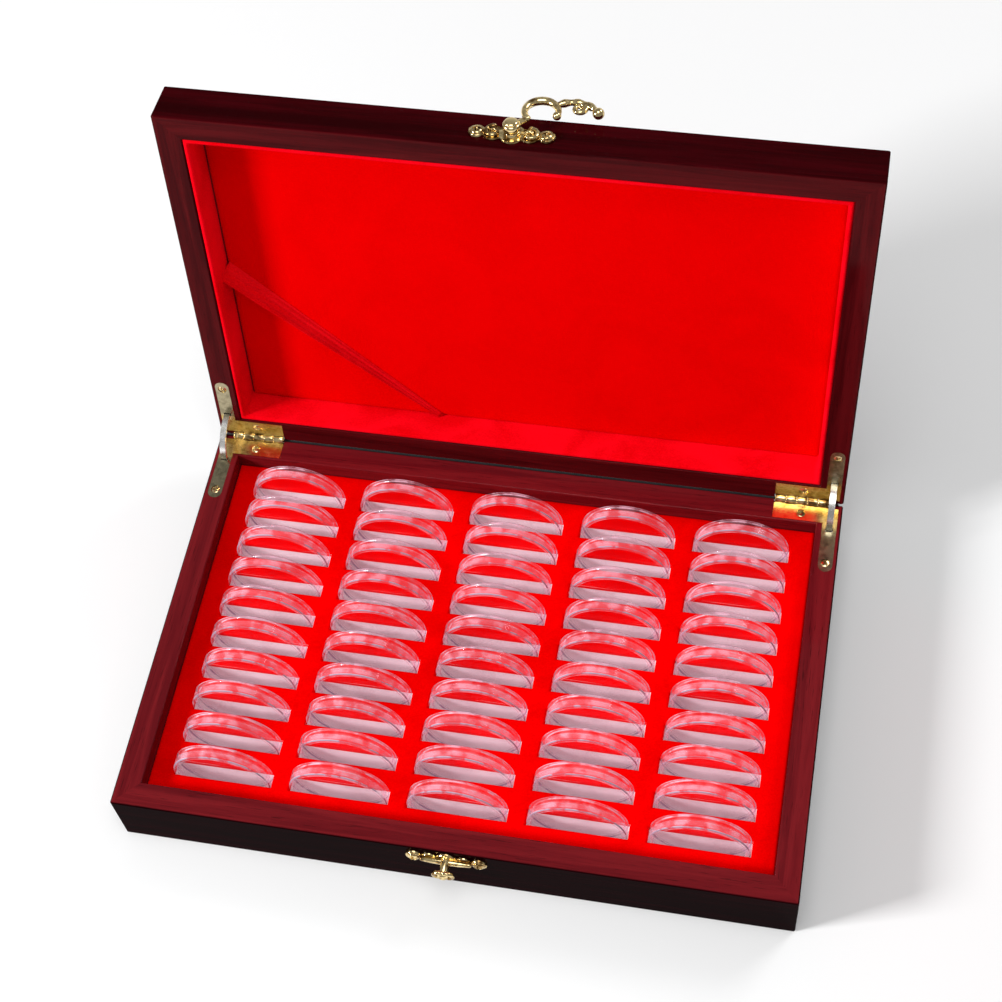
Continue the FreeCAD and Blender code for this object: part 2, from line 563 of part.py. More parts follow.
def build():
    base = frame_blank("base_carcass", "base_height", "0", "0", "felt + base_panel", "top")
    lid = frame_blank("lid_carcass", "lid_height", LID_RIM, "lid_height - lid_panel", "lid_panel", "bottom")
    base_cuts = hinge_mortises("base_mortise", "(base_height - leaf)", "(base_height - pocket_deep)",
                               "base_height - screw_long - 1")
    lid_cuts = hinge_mortises("lid_mortise", LID_RIM, LID_RIM, LID_RIM)
    base_holes = fuse("base_cuts", [base_cuts] + nail_holes("base_face_hole", CATCH_Z))
    lid_holes = fuse("lid_cuts", [lid_cuts, rivet_hole("lid_bore", "7")]
                     + nail_holes("lid_face_hole", PIVOT_Z))
    mitred_boards("base", cut("base_frame", base, base_holes), "0", "base_height", lid=False)
    mitred_boards("lid", cut("lid_frame", lid, lid_holes), LID_RIM, "lid_height", lid=True)
    base_inside()
    hinges()
    clasp_on_base()
    lid_inside()
    lid_ribbon()
    clasp_on_lid()
    clasp_hook()
    capsules()
    doc.recompute()


def check_and_export():
    for thing in doc.Objects:
        assert not {"Invalid", "Error"} & set(thing.State), f"{thing.Name}: {thing.State}"
    os.makedirs("parts", exist_ok=True)
    for thing in sub_parts:
        assert not thing.Shape.isNull() and thing.Shape.isValid(), f"{thing.Label} has no valid shape"
        thing.Shape.exportStep(f"parts/{thing.Label}.step")
    print(len(sub_parts), "sub-parts")


build()
check_and_export()
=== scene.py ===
"""Looks of a hinged coin case: lacquered boards, velvet, clear capsules, gilt hinges and a scrolled clasp.

Metres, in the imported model's own frame: +Z up, -Y towards the front, +X to the right.  The lid's pieces are
drawn with the lid shut and are then swung open about the hinge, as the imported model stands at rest.
"""
import json
import logging
import math
from dataclasses import dataclass
from enum import Enum
from typing import Any, Sequence

import bmesh
import bpy
import numpy as np
from mathutils import Matrix, Vector

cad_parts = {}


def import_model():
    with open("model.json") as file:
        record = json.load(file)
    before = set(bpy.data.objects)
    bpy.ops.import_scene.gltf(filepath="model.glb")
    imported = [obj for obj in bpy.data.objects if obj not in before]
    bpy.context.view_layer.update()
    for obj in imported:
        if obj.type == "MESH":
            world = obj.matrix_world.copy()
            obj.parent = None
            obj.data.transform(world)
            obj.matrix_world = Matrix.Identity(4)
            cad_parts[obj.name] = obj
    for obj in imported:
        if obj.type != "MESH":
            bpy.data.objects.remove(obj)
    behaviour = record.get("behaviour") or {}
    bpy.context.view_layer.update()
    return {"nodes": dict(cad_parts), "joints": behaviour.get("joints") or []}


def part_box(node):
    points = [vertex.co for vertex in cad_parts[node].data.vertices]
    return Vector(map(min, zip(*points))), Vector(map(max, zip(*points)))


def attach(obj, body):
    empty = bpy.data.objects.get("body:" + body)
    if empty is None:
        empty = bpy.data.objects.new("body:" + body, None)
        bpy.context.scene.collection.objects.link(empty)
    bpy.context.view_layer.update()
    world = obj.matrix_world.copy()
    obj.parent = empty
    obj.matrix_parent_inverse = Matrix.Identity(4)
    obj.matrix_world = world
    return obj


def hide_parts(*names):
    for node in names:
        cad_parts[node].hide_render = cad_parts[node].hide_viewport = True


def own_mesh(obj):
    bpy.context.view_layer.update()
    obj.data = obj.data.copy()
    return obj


LOG = logging.getLogger("coin_case")
MM = 0.001
Array = np.ndarray
Colour = tuple[float, float, float, float]
Material = bpy.types.Material
Object = bpy.types.Object
ROWS, COLUMNS = 10, 5


# ------------------------------ meshes
@dataclass
class Skin:
    """A patch of surface: its points, and its faces as lists of point numbers."""

    points: Array
    faces: list[list[int]]

    def moved(self, by: Sequence[float]) -> "Skin":
        """The same patch, shifted."""
        return Skin(self.points + np.asarray(by, float), self.faces)

    def mapped(self, columns: Array, origin: Sequence[float]) -> "Skin":
        """The same patch with its x, y and z laid along three directions from an origin.

        Args:
            columns: the three directions, as the columns of a matrix.
            origin: where the patch's own zero goes.

        Returns:
            The patch in its new place.
        """
        return Skin(self.points @ np.asarray(columns, float).T + np.asarray(origin, float), self.faces)


def quads(rows: int, columns: int, wrap_rows: bool = False, wrap_columns: bool = False) -> Array:
    """Faces of a grid of points counted row by row.

    Args:
        rows: number of rows of points.
        columns: number of points in a row.
        wrap_rows: the last row joins the first.
        wrap_columns: the last point of a row joins its first.

    Returns:
        One face of four point numbers per cell.
    """
    i = np.arange(rows if wrap_rows else rows - 1)[:, None]
    j = np.arange(columns if wrap_columns else columns - 1)[None, :]
    down, right = (i + 1) % rows, (j + 1) % columns
    corners = [i * columns + j, i * columns + right, down * columns + right, down * columns + j]
    return np.stack(np.broadcast_arrays(*corners), axis=-1).reshape(-1, 4)


def fan(centre: int, ring: Array) -> list[list[int]]:
    """Triangles from one point to each side of a closed ring of points."""
    return np.stack([np.full(len(ring), centre), ring, np.roll(ring, -1)], axis=1).tolist()


def lathe(profile: Array, sides: int) -> Skin:
    """A profile of (radius, height) pairs carried once round the Z axis.

    A profile that starts and ends on the axis closes there in a single point; otherwise its two ends
    join, so that a ring is closed too.

    Args:
        profile: the pairs, in order.
        sides: number of steps round the axis.

    Returns:
        The closed surface.
    """
    profile = np.asarray(profile, float)
    turn = np.linspace(0, 2 * np.pi, sides, endpoint=False)
    open_ends = profile[0, 0] > 0
    rings = profile if open_ends else profile[1:-1]
    across = np.stack([np.cos(turn), np.sin(turn)], axis=1)
    flat = rings[:, 0, None, None] * across[None]
    high = np.broadcast_to(rings[:, 1, None, None], flat.shape[:2] + (1,))
    points = np.concatenate([flat, high], axis=2).reshape(-1, 3)
    faces = quads(len(rings), sides, wrap_rows=open_ends, wrap_columns=True).tolist()
    if not open_ends:
        first = np.arange(sides)
        last = first + (len(rings) - 1) * sides
        poles = [[0, 0, profile[0, 1]], [0, 0, profile[-1, 1]]]
        points = np.concatenate([points, poles])
        faces += fan(len(points) - 2, first[::-1]) + fan(len(points) - 1, last)
    return Skin(points, faces)


def rod(path: Array, radius: Array | float, sides: int = 14) -> Skin:
    """A round bar along a path in a plane of X and Z, with domed ends.

    At each point of the path the section is a circle spanned by the Y axis and by the direction square
    to both that axis and the path.  The ends close by shrinking the circle as a dome does.

    Args:
        path: points of the centre line.
        radius: the bar's radius, one number or one for each point.
        sides: number of steps round the bar.

    Returns:
        The closed bar.
    """
    path = np.asarray(path, float)
    radius = np.broadcast_to(np.asarray(radius, float), len(path)).copy()
    steps = np.array([0.2, 0.55, 0.83])
    ahead = path[0] - path[1]
    behind = path[-1] - path[-2]
    ahead, behind = ahead / np.linalg.norm(ahead), behind / np.linalg.norm(behind)
    front = path[0] + np.outer(np.sqrt(1 - steps**2) * radius[0], ahead)
    rear = path[-1] + np.outer(np.sqrt(1 - steps[::-1] ** 2) * radius[-1], behind)
    line = np.concatenate([front, path, rear])
    width = np.concatenate([steps * radius[0], radius, steps[::-1] * radius[-1]])
    along = np.gradient(line, axis=0)
    axis = np.array([0, 1.0, 0])
    across = np.cross(along, axis)
    across /= np.linalg.norm(across, axis=1)[:, None]
    turn = np.linspace(0, 2 * np.pi, sides, endpoint=False)
    circle = np.cos(turn)[None, :, None] * across[:, None] + np.sin(turn)[None, :, None] * axis
    points = (line[:, None] + width[:, None, None] * circle).reshape(-1, 3)
    tips = [path[0] + ahead * radius[0], path[-1] + behind * radius[-1]]
    faces = quads(len(line), sides, wrap_columns=True).tolist()
    ring = np.arange(sides)
    faces += fan(len(points), ring[::-1]) + fan(len(points) + 1, ring + (len(line) - 1) * sides)
    return Skin(np.concatenate([points, tips]), faces)


def arc(centre: Sequence[float], radius: Array | float, start: float, sweep: float, steps: int) -> Array:
    """Points round a centre in the plane of X and Z, by angles in degrees; a radius per point spirals."""
    turn = np.radians(np.linspace(start, start + sweep, steps))
    radius = np.broadcast_to(radius, turn.shape)
    flat = np.stack([np.cos(turn), np.zeros_like(turn), np.sin(turn)], axis=1)
    return np.asarray(centre, float) + radius[:, None] * flat


def dome_profile(radius: float, height: float, edge: float, steps: int = 8) -> Array:
    """Half the section of a low dome on a short straight edge, from its back's middle to its top."""
    turn = np.linspace(0, np.pi / 2, steps)
    curve = np.stack([radius * np.cos(turn), edge + height * np.sin(turn)], axis=1)
    return np.concatenate([[[0, 0], [radius, 0]], curve[:-1], [[0, edge + height]]])


def make_piece(name: str, skins: Sequence[Skin], finish: Material, body: str,
               stands_for: Sequence[str] = (), crease: float = 40, closed: bool = True,
               haze_and_rim_shade: Array | None = None) -> Object:
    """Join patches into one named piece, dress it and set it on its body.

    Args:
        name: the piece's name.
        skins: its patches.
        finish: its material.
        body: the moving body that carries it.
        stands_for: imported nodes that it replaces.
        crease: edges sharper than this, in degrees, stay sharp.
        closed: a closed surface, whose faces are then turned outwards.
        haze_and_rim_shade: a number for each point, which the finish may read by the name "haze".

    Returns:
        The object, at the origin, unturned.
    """
    starts = np.cumsum([0] + [len(skin.points) for skin in skins])
    faces = [[start + n for n in face]
             for start, skin in zip(starts.tolist(), skins) for face in skin.faces]
    mesh = bpy.data.meshes.new(name)
    mesh.from_pydata(np.concatenate([skin.points for skin in skins]).tolist(), [], faces)
    if haze_and_rim_shade is not None:
        mesh.attributes.new("haze_and_rim_shade", "FLOAT", "POINT").data.foreach_set("value", haze_and_rim_shade)
    if closed:
        work = bmesh.new()
        work.from_mesh(mesh)
        bmesh.ops.remove_doubles(work, verts=work.verts, dist=1e-6)
        bmesh.ops.recalc_face_normals(work, faces=work.faces)
        work.to_mesh(mesh)
        work.free()
    mesh.shade_smooth()
    mesh.set_sharp_from_angle(angle=math.radians(crease))
    mesh.materials.append(finish)
    piece = bpy.data.objects.new(name, mesh)
    bpy.context.scene.collection.objects.link(piece)
    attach(piece, body)
    if stands_for:
        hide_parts(*stands_for)
    LOG.info("%s: %d points on %s", name, len(mesh.vertices), body)
    return piece


def dress(node: Object, finish: Material) -> None:
    """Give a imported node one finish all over."""
    slots = node.data.materials
    slots.clear()
    slots.append(finish)


# ------------------------------ shading
class Signal:
    """A shader value on a wire; arithmetic on it adds Math nodes to its bench."""

    def __init__(self, bench: "Bench", socket: bpy.types.NodeSocket) -> None:
        """Wrap one output socket."""
        self.bench = bench
        self.socket = socket

    def _math(self, operation: str, *values: Any) -> "Signal":
        """One Math node over the given values."""
        return self.bench.add("ShaderNodeMath", {"operation": operation}, dict(enumerate(values)))

    def __add__(self, other: Any) -> "Signal":
        """Sum."""
        return self._math("ADD", self, other)

    __radd__ = __add__

    def __mul__(self, other: Any) -> "Signal":
        """Product."""
        return self._math("MULTIPLY", self, other)

    __rmul__ = __mul__

    def __abs__(self) -> "Signal":
        """Size without sign."""
        return self._math("ABSOLUTE", self)

    def most(self, other: Any) -> "Signal":
        """The larger of two values."""
        return self._math("MAXIMUM", self, other)

    def ramp(self, low: float, high: float, start: float = 0.0, end: float = 1.0) -> "Signal":
        """An eased step from start to end as the value goes from low to high."""
        return self.bench.add("ShaderNodeMapRange", {"interpolation_type": "SMOOTHSTEP"},
                              {0: self, 1: low, 2: high, 3: start, 4: end})


class Bench:
    """Where one material is put together, node by node."""

    def __init__(self, name: str) -> None:
        """Start an empty material."""
        self.material = bpy.data.materials.new(name)
        self.material.use_nodes = True
        self.tree = self.material.node_tree
        self.tree.nodes.clear()

    def add(self, kind: str, settings: dict[str, Any] | None = None,
            values: dict[Any, Any] | None = None, out: Any = 0) -> Signal:
        """Add a node.

        Args:
            kind: the node's type.
            settings: properties of the node, set before its sockets.
            values: a number, colour or Signal for each input, by name or number.
            out: the output to hand on, by name or number.

        Returns:
            That output.
        """
        node = self.tree.nodes.new(kind)
        for key, value in (settings or {}).items():
            setattr(node, key, value)
        for key, value in (values or {}).items():
            if isinstance(value, Signal):
                self.tree.links.new(value.socket, node.inputs[key])
            else:
                node.inputs[key].default_value = value
        return Signal(self, node.outputs[out])

    def place(self, turn: "LidFrame | None" = None) -> Signal:
        """Object coordinates, turned back to the shut lid's where the piece is on the lid."""
        here = self.add("ShaderNodeTexCoord", out="Object")
        if turn is None:
            return here
        return self.add("ShaderNodeMapping", {"vector_type": "POINT"},
                        {"Vector": here, "Location": turn.back_shift(), "Rotation": turn.back_turn()})

    def stretch(self, place: Signal, scale: Sequence[float]) -> Signal:
        """Coordinates multiplied along each axis."""
        return self.add("ShaderNodeVectorMath", {"operation": "MULTIPLY"}, {0: place, 1: tuple(scale)})

    def axes(self, place: Signal) -> tuple[Signal, Signal, Signal]:
        """The three coordinates by themselves."""
        split = self.add("ShaderNodeSeparateXYZ", None, {0: place})
        outputs = split.socket.node.outputs
        return Signal(self, outputs[0]), Signal(self, outputs[1]), Signal(self, outputs[2])

    def noise(self, place: Signal, scale: float, detail: float = 2, rough: float = 0.5,
              warp: float = 0) -> Signal:
        """Cloudy noise, about 0.5 on average."""
        return self.add("ShaderNodeTexNoise", {"noise_dimensions": "3D"},
                        {"Vector": place, "Scale": scale, "Detail": detail, "Roughness": rough,
                         "Distortion": warp})

    def mix(self, share: Any, first: Any, second: Any) -> Signal:
        """One colour going over to another."""
        return self.add("ShaderNodeMix", {"data_type": "RGBA"}, {0: share, 6: first, 7: second}, out=2)

    def bump(self, height: Signal, depth: float, strength: float, under: Signal | None = None) -> Signal:
        """A normal from a height that is worth depth metres."""
        values: dict[Any, Any] = {"Height": height, "Distance": depth, "Strength": strength}
        if under is not None:
            values["Normal"] = under
        return self.add("ShaderNodeBump", None, values)

    def principled(self, values: dict[str, Any]) -> Signal:
        """The main surface shader."""
        return self.add("ShaderNodeBsdfPrincipled", None, values)

    def done(self, shader: Signal) -> Material:
        """Send a shader to the surface and hand over the material."""
        output = self.tree.nodes.new("ShaderNodeOutputMaterial")
        self.tree.links.new(shader.socket, output.inputs["Surface"])
        return self.material

    def surface(self, values: dict[str, Any]) -> Material:
        """Finish the material with the main surface shader alone."""
        return self.done(self.principled(values))


# ------------------------------ the lid's frame
@dataclass(frozen=True)
class LidFrame:
    """The hinge axis and how far the lid stands open at rest."""

    pivot: tuple[float, float, float]
    axis: tuple[float, float, float]
    angle: float

    @classmethod
    def read(cls, joints: Sequence[dict[str, Any]]) -> "LidFrame":
        """Take the lid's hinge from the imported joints."""
        hinge = next(joint for joint in joints if joint["name"] == "lid_hinge")
        return cls(tuple(hinge["pos_m"]), tuple(hinge["axis"]), math.radians(-min(hinge["range_deg"])))

    def turn(self) -> Array:
        """The rotation from shut to rest."""
        return np.array(Matrix.Rotation(self.angle, 3, Vector(self.axis)))

    def open(self, points: Array) -> Array:
        """Points of the shut lid, swung to rest."""
        pivot = np.array(self.pivot)
        return (np.asarray(points, float) - pivot) @ self.turn().T + pivot

    def shut(self, points: Array) -> Array:
        """Points at rest, swung back to the shut lid."""
        pivot = np.array(self.pivot)
        return (np.asarray(points, float) - pivot) @ self.turn() + pivot

    def opened(self, skins: Sequence[Skin]) -> list[Skin]:
        """Patches of the shut lid, swung to rest."""
        return [Skin(self.open(skin.points), skin.faces) for skin in skins]

    def back_turn(self) -> tuple[float, float, float]:
        """Euler angles of the turn from rest to shut."""
        return tuple(Matrix.Rotation(-self.angle, 3, Vector(self.axis)).to_euler())

    def back_shift(self) -> tuple[float, float, float]:
        """Shift that goes with back_turn."""
        pivot = Vector(self.pivot)
        return tuple(pivot - Matrix.Rotation(-self.angle, 3, Vector(self.axis)) @ pivot)

    def shut_box(self, node: Object) -> tuple[Array, Array]:
        """Lowest and highest corner of a lid node, with the lid shut."""
        flat = np.zeros(len(node.data.vertices) * 3, np.float32)
        node.data.vertices.foreach_get("co", flat)
        points = self.shut(flat.reshape(-1, 3))
        return points.min(0), points.max(0)


@dataclass(frozen=True)
class CaseSizes:
    """The case's main measures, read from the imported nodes."""

    half_width: float
    half_depth: float
    wall: float
    rim: float
    lid_rim: float
    lid_top: float
    ceiling: float
    lining: float

    @classmethod
    def read(cls, nodes: dict[str, Object], lid: LidFrame) -> "CaseSizes":
        """Measure the nodes."""
        left_low, left_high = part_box("base_left_wall")
        _, rear_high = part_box("base_rear_wall")
        pad_low, _ = lid.shut_box(nodes["lid_panel_pad"])
        lid_low, lid_high = lid.shut_box(nodes["lid_left_wall"])
        lining_low, lining_high = lid.shut_box(nodes["lid_lining_left"])
        return cls(
            half_width=-left_low.x,
            half_depth=rear_high.y,
            wall=left_high.x - left_low.x,
            rim=left_high.z,
            lid_rim=float(lid_low[2]),
            lid_top=float(lid_high[2]),
            ceiling=float(pad_low[2]),
            lining=float(lining_high[0] - lining_low[0]),
        )


# ------------------------------ finishes
class Grain(Enum):
    """Which way a board's grain runs; the values stretch a pattern that way."""

    WIDTH = (9.0, 240.0, 240.0)
    DEPTH = (240.0, 9.0, 240.0)


@dataclass(frozen=True)
class Lacquer:
    """Dark red-brown hardwood under a clear gloss lacquer.

    The colour goes between two tones along stretched noise; fine dark pores lie along the grain; the
    outer faces are painted near black, much darker than the rims: painted shade for their dim light.
    """

    name: str
    grain: Grain
    sizes: CaseSizes
    lid: "LidFrame | None" = None
    light: Colour = (0.17, 0.0085, 0.012, 1)
    dark: Colour = (0.105, 0.004, 0.007, 1)
    # painted shade: the near-black colour of the outer faces
    outside: Colour = (0.009, 0.0003, 0.001, 1)
    pore_tone: Colour = (0.006, 0.0008, 0.001, 1)
    rough: float = 0.16
    gloss: float = 0.3
    # painted shade: how far in from an outer face it starts, and where it is full
    outer_shade_reach: tuple[float, float] = (0.9 * MM, 0.2 * MM)

    def outer_face(self, place: Signal, edge: float) -> Signal:
        """Goes from 0 to 1 as a coordinate comes up to a face that stands at edge."""
        return place.ramp(edge - self.outer_shade_reach[0], edge - self.outer_shade_reach[1])

    def material(self) -> Material:
        """Put the finish together."""
        bench = Bench(self.name)
        place = bench.place(self.lid)
        along = self.grain.value
        figure = bench.noise(bench.stretch(place, along), 1.0, 5, 0.62, 0.6)
        broad = bench.noise(bench.stretch(place, [value * 0.22 for value in along]), 1.0, 2, 0.5)
        pores = bench.noise(bench.stretch(place, [value * 9 for value in along]), 1.0, 2, 0.6)
        pore = pores.ramp(0.60, 0.72)
        tone = (figure * 0.7 + broad * 0.3).ramp(0.36, 0.62)
        inner = bench.mix(tone, self.dark, self.light)
        x, y, z = bench.axes(place)
        # painted shade: a mask that rises near the outer faces, where the wood goes over to the near-black
        # outside colour
        near_side = self.outer_face(abs(x), self.sizes.half_width)
        near_end = self.outer_face(abs(y), self.sizes.half_depth)
        outer = near_side.most(near_end)
        if self.lid is not None:
            outer = outer.most(self.outer_face(z, self.sizes.lid_top))
        streak = bench.mix(tone, tuple(v * 0.45 for v in self.outside[:3]) + (1,), self.outside)
        wood = bench.mix(outer, inner, streak)
        colour = bench.mix(pore * 0.55, wood, self.pore_tone)
        rough = bench.noise(place, 45, 3) * 0.08 + (self.rough - 0.04) + pore * 0.1
        ripple = bench.noise(place, 70, 2)
        normal = bench.bump(ripple, 0.05 * MM, 0.5, bench.bump(pore * -1.0, 0.02 * MM, 0.5))
        return bench.surface({
            "Base Color": colour, "Roughness": rough, "Normal": normal, "IOR": 1.5,
            "Specular IOR Level": 0.0, "Coat Weight": outer.ramp(0, 1, self.gloss, 0.05),
            "Coat Roughness": 0.07})


@dataclass(frozen=True)
class Velvet:
    """Short red pile: mottled by the way the pile lies, with a fine nap that catches light at its edges."""

    name: str
    colour: Colour = (0.88, 0.0, 0.0005, 1)
    shade: Colour = (0.69, 0.0, 0.0, 1)
    sheen: float = 0.05
    sheen_tint: Colour = (1.0, 0.01, 0.03, 1)
    pile: float = 2600.0

    def material(self) -> Material:
        """Put the finish together."""
        bench = Bench(self.name)
        place = bench.place()
        lie = bench.noise(place, 24, 3, 0.55, 0.8)
        nap = bench.noise(place, self.pile, 2, 0.7)
        tuft = bench.noise(bench.stretch(place, (900, 1400, 1100)), 1.0, 2, 0.5)
        share = (lie * 0.55 + nap * 0.25 + tuft * 0.2).ramp(0.36, 0.60)
        colour = bench.mix(share, self.shade, self.colour)
        normal = bench.bump(nap * 0.6 + tuft * 0.4, 0.25 * MM, 0.7)
        return bench.surface({
            "Base Color": colour, "Roughness": lie * 0.1 + 0.85, "Normal": normal,
            "Specular IOR Level": 0.0, "Sheen Weight": self.sheen, "Sheen Roughness": 0.45,
            "Sheen Tint": self.sheen_tint})


@dataclass(frozen=True)
class Foam:
    """White closed-cell foam, its cut walls finely pitted; its pink tint is painted light bounced from the
    velvet, and a faint glow is painted light in the slots.
    """

    name: str
    # painted light: a pink tint for light bounced from the red velvet
    colour: Colour = (0.80, 0.72, 0.73, 1)
    shade: Colour = (0.64, 0.55, 0.57, 1)
    # painted light: the foam glows a little, so that the slots' walls look lit
    painted_glow: float = 0.16
    glow_low: Colour = (0.75, 0.5, 0.52, 1)
    glow_high: Colour = (1, 0.78, 0.8, 1)

    def material(self) -> Material:
        """Put the finish together."""
        bench = Bench(self.name)
        place = bench.place()
        cells = bench.add("ShaderNodeTexVoronoi", {"feature": "F1"}, {"Vector": place, "Scale": 1500},
                          out="Distance")
        cloud = bench.noise(place, 60, 3)
        colour = bench.mix((cells * 0.5 + cloud * 0.5).ramp(0.3, 0.55), self.shade, self.colour)
        return bench.surface({
            "Base Color": colour, "Roughness": cloud * 0.15 + 0.75, "Specular IOR Level": 0.2,
            "Emission Color": bench.mix(cloud.ramp(0.35, 0.65), self.glow_low, self.glow_high),
            "Emission Strength": self.painted_glow, "Normal": bench.bump(cells, 0.2 * MM, 0.6)})


@dataclass(frozen=True)
class Felt:
    """Black felt on the underside, matted from short fibres."""

    name: str
    colour: Colour = (0.022, 0.021, 0.024, 1)
    shade: Colour = (0.009, 0.009, 0.010, 1)

    def material(self) -> Material:
        """Put the finish together."""
        bench = Bench(self.name)
        place = bench.place()
        fibres = bench.noise(bench.stretch(place, (700, 2600, 2000)), 1.0, 4, 0.7, 1.5)
        cloud = bench.noise(place, 80, 3)
        colour = bench.mix((fibres * 0.6 + cloud * 0.4).ramp(0.35, 0.65), self.shade, self.colour)
        return bench.surface({
            "Base Color": colour, "Roughness": cloud * 0.1 + 0.88, "Specular IOR Level": 0.1,
            "Sheen Weight": 0.25, "Normal": bench.bump(fibres, 0.3 * MM, 0.8)})


@dataclass(frozen=True)
class ClearShell:
    """Clear moulded acrylic with slightly milky walls.

    A see-through surface mixed with a little body by a number on each point of the mesh: a pink milk
    whose pink is painted light from the red velvet, going over to a grey-lilac that is painted shade on
    the rims, with a faint painted glow and in cloudy patches that are painted glints; and a polish that
    gets stronger towards grazing views.  Faint scuffs run along the turn of the shells.
    """

    name: str
    tint: Colour = (0.995, 0.985, 0.995, 1)
    # painted light: the milky body's pink stands in for the red velvet's light seen through and bounced in
    # the shells
    milk_and_red_bounce: Colour = (0.95, 0.62, 0.74, 1)
    # painted shade: the grey-lilac of the rims, where the shells look darker edge-on
    edge: Colour = (0.34, 0.27, 0.37, 1)
    shine: Colour = (0.95, 0.74, 0.90, 1)
    # painted light: the shells' body glows faintly
    painted_glow: float = 0.05
    shadow_let_through: float = 0.75

    def material(self) -> Material:
        """Put the finish together."""
        bench = Bench(self.name)
        place = bench.place()
        haze_and_rim_shade = bench.add("ShaderNodeAttribute", {"attribute_name": "haze_and_rim_shade"}, out="Fac")
        scuff = bench.noise(bench.stretch(place, (500, 2400, 500)), 1.0, 3, 0.6)
        cloud = bench.noise(place, 170, 2)
        clear = bench.add("ShaderNodeBsdfTransparent", None, {"Color": self.tint})
        colour = bench.mix(haze_and_rim_shade.ramp(0.25, 0.7), self.milk_and_red_bounce, self.edge)
        body = bench.principled({"Base Color": colour, "Roughness": scuff * 0.2 + 0.15,
                                 "Specular IOR Level": 0.5, "Emission Color": colour,
                                 "Emission Strength": self.painted_glow})
        # painted glints: the cloud makes patches where the body is stronger; the rims' high numbers bring in
        # the painted shade
        share = haze_and_rim_shade * cloud.ramp(0.4, 0.62, 0.5, 2.0)
        cloudy = bench.add("ShaderNodeMixShader", None, {0: share, 1: clear, 2: body})
        facing = bench.add("ShaderNodeLayerWeight", None, {"Blend": 0.5}, out="Facing")
        square = facing * facing
        polish = square * square * square * 0.4 + 0.004
        gloss = bench.add("ShaderNodeBsdfGlossy", None, {"Color": self.shine,
                                                         "Roughness": scuff.ramp(0.5, 0.75, 0.02, 0.12)})
        shell = bench.add("ShaderNodeMixShader", None, {0: polish, 1: cloudy, 2: gloss})
        shadow = bench.add("ShaderNodeLightPath", out="Is Shadow Ray")
        light = shadow * self.shadow_let_through
        return bench.done(bench.add("ShaderNodeMixShader", None, {0: light, 1: shell, 2: clear}))


@dataclass(frozen=True)
class Gilt:
    """Bright plated brass, cast and then polished; in noise patches it goes over to a duller, darker tone,
    which on the polished gilt is painted shade for its dark hollows and reflections.
    """

    name: str
    colour: Colour = (0.93, 0.66, 0.27, 1)
    # the tone of the noise patches; on the polished gilt it is painted shade
    dull_and_shade: Colour = (0.62, 0.38, 0.12, 1)
    rough: float = 0.12
    wear: float = 0.5
    grit: float = 0.5
    bright_from: float | None = None
    bright: Colour = (1.0, 0.80, 0.38, 1)
    bright_dull_and_shade: Colour = (0.72, 0.50, 0.16, 1)
    lid: "LidFrame | None" = None

    def material(self) -> Material:
        """Put the finish together."""
        bench = Bench(self.name)
        place = bench.place()
        cast = bench.noise(place, 420, 4, 0.6)
        patch = bench.noise(place, 150, 2, 0.5, 0.5)
        # noise patches that go over to the dull tone, painted shade on the polished gilt
        share = (patch * self.wear + cast * (1 - self.wear)).ramp(0.38, 0.58)
        colour = bench.mix(share, self.dull_and_shade, self.colour)
        if self.bright_from is not None:
            _, y, _ = bench.axes(bench.place(self.lid))
            near = y.ramp(self.bright_from - 2 * MM, self.bright_from + 2 * MM)
            colour = bench.mix(near, colour, bench.mix(share, self.bright_dull_and_shade, self.bright))
        rough = cast * 0.16 + (self.rough - 0.05)
        return bench.surface({
            "Base Color": colour, "Metallic": 1.0, "Roughness": rough,
            "Normal": bench.bump(cast, 0.06 * MM, self.grit)})


@dataclass(frozen=True)
class BoardSheet:
    """Stained hardboard of the case's bottom: pressed fibres under a thin satin stain."""

    name: str
    colour: Colour = (0.13, 0.03, 0.022, 1)
    shade: Colour = (0.06, 0.012, 0.01, 1)

    def material(self) -> Material:
        """Put the finish together."""
        bench = Bench(self.name)
        place = bench.place()
        fibres = bench.noise(bench.stretch(place, (300, 520, 400)), 1.0, 5, 0.65, 2.0)
        colour = bench.mix(fibres.ramp(0.35, 0.65), self.shade, self.colour)
        return bench.surface({
            "Base Color": colour, "Roughness": fibres * 0.2 + 0.42,
            "Normal": bench.bump(fibres, 0.1 * MM, 0.6)})


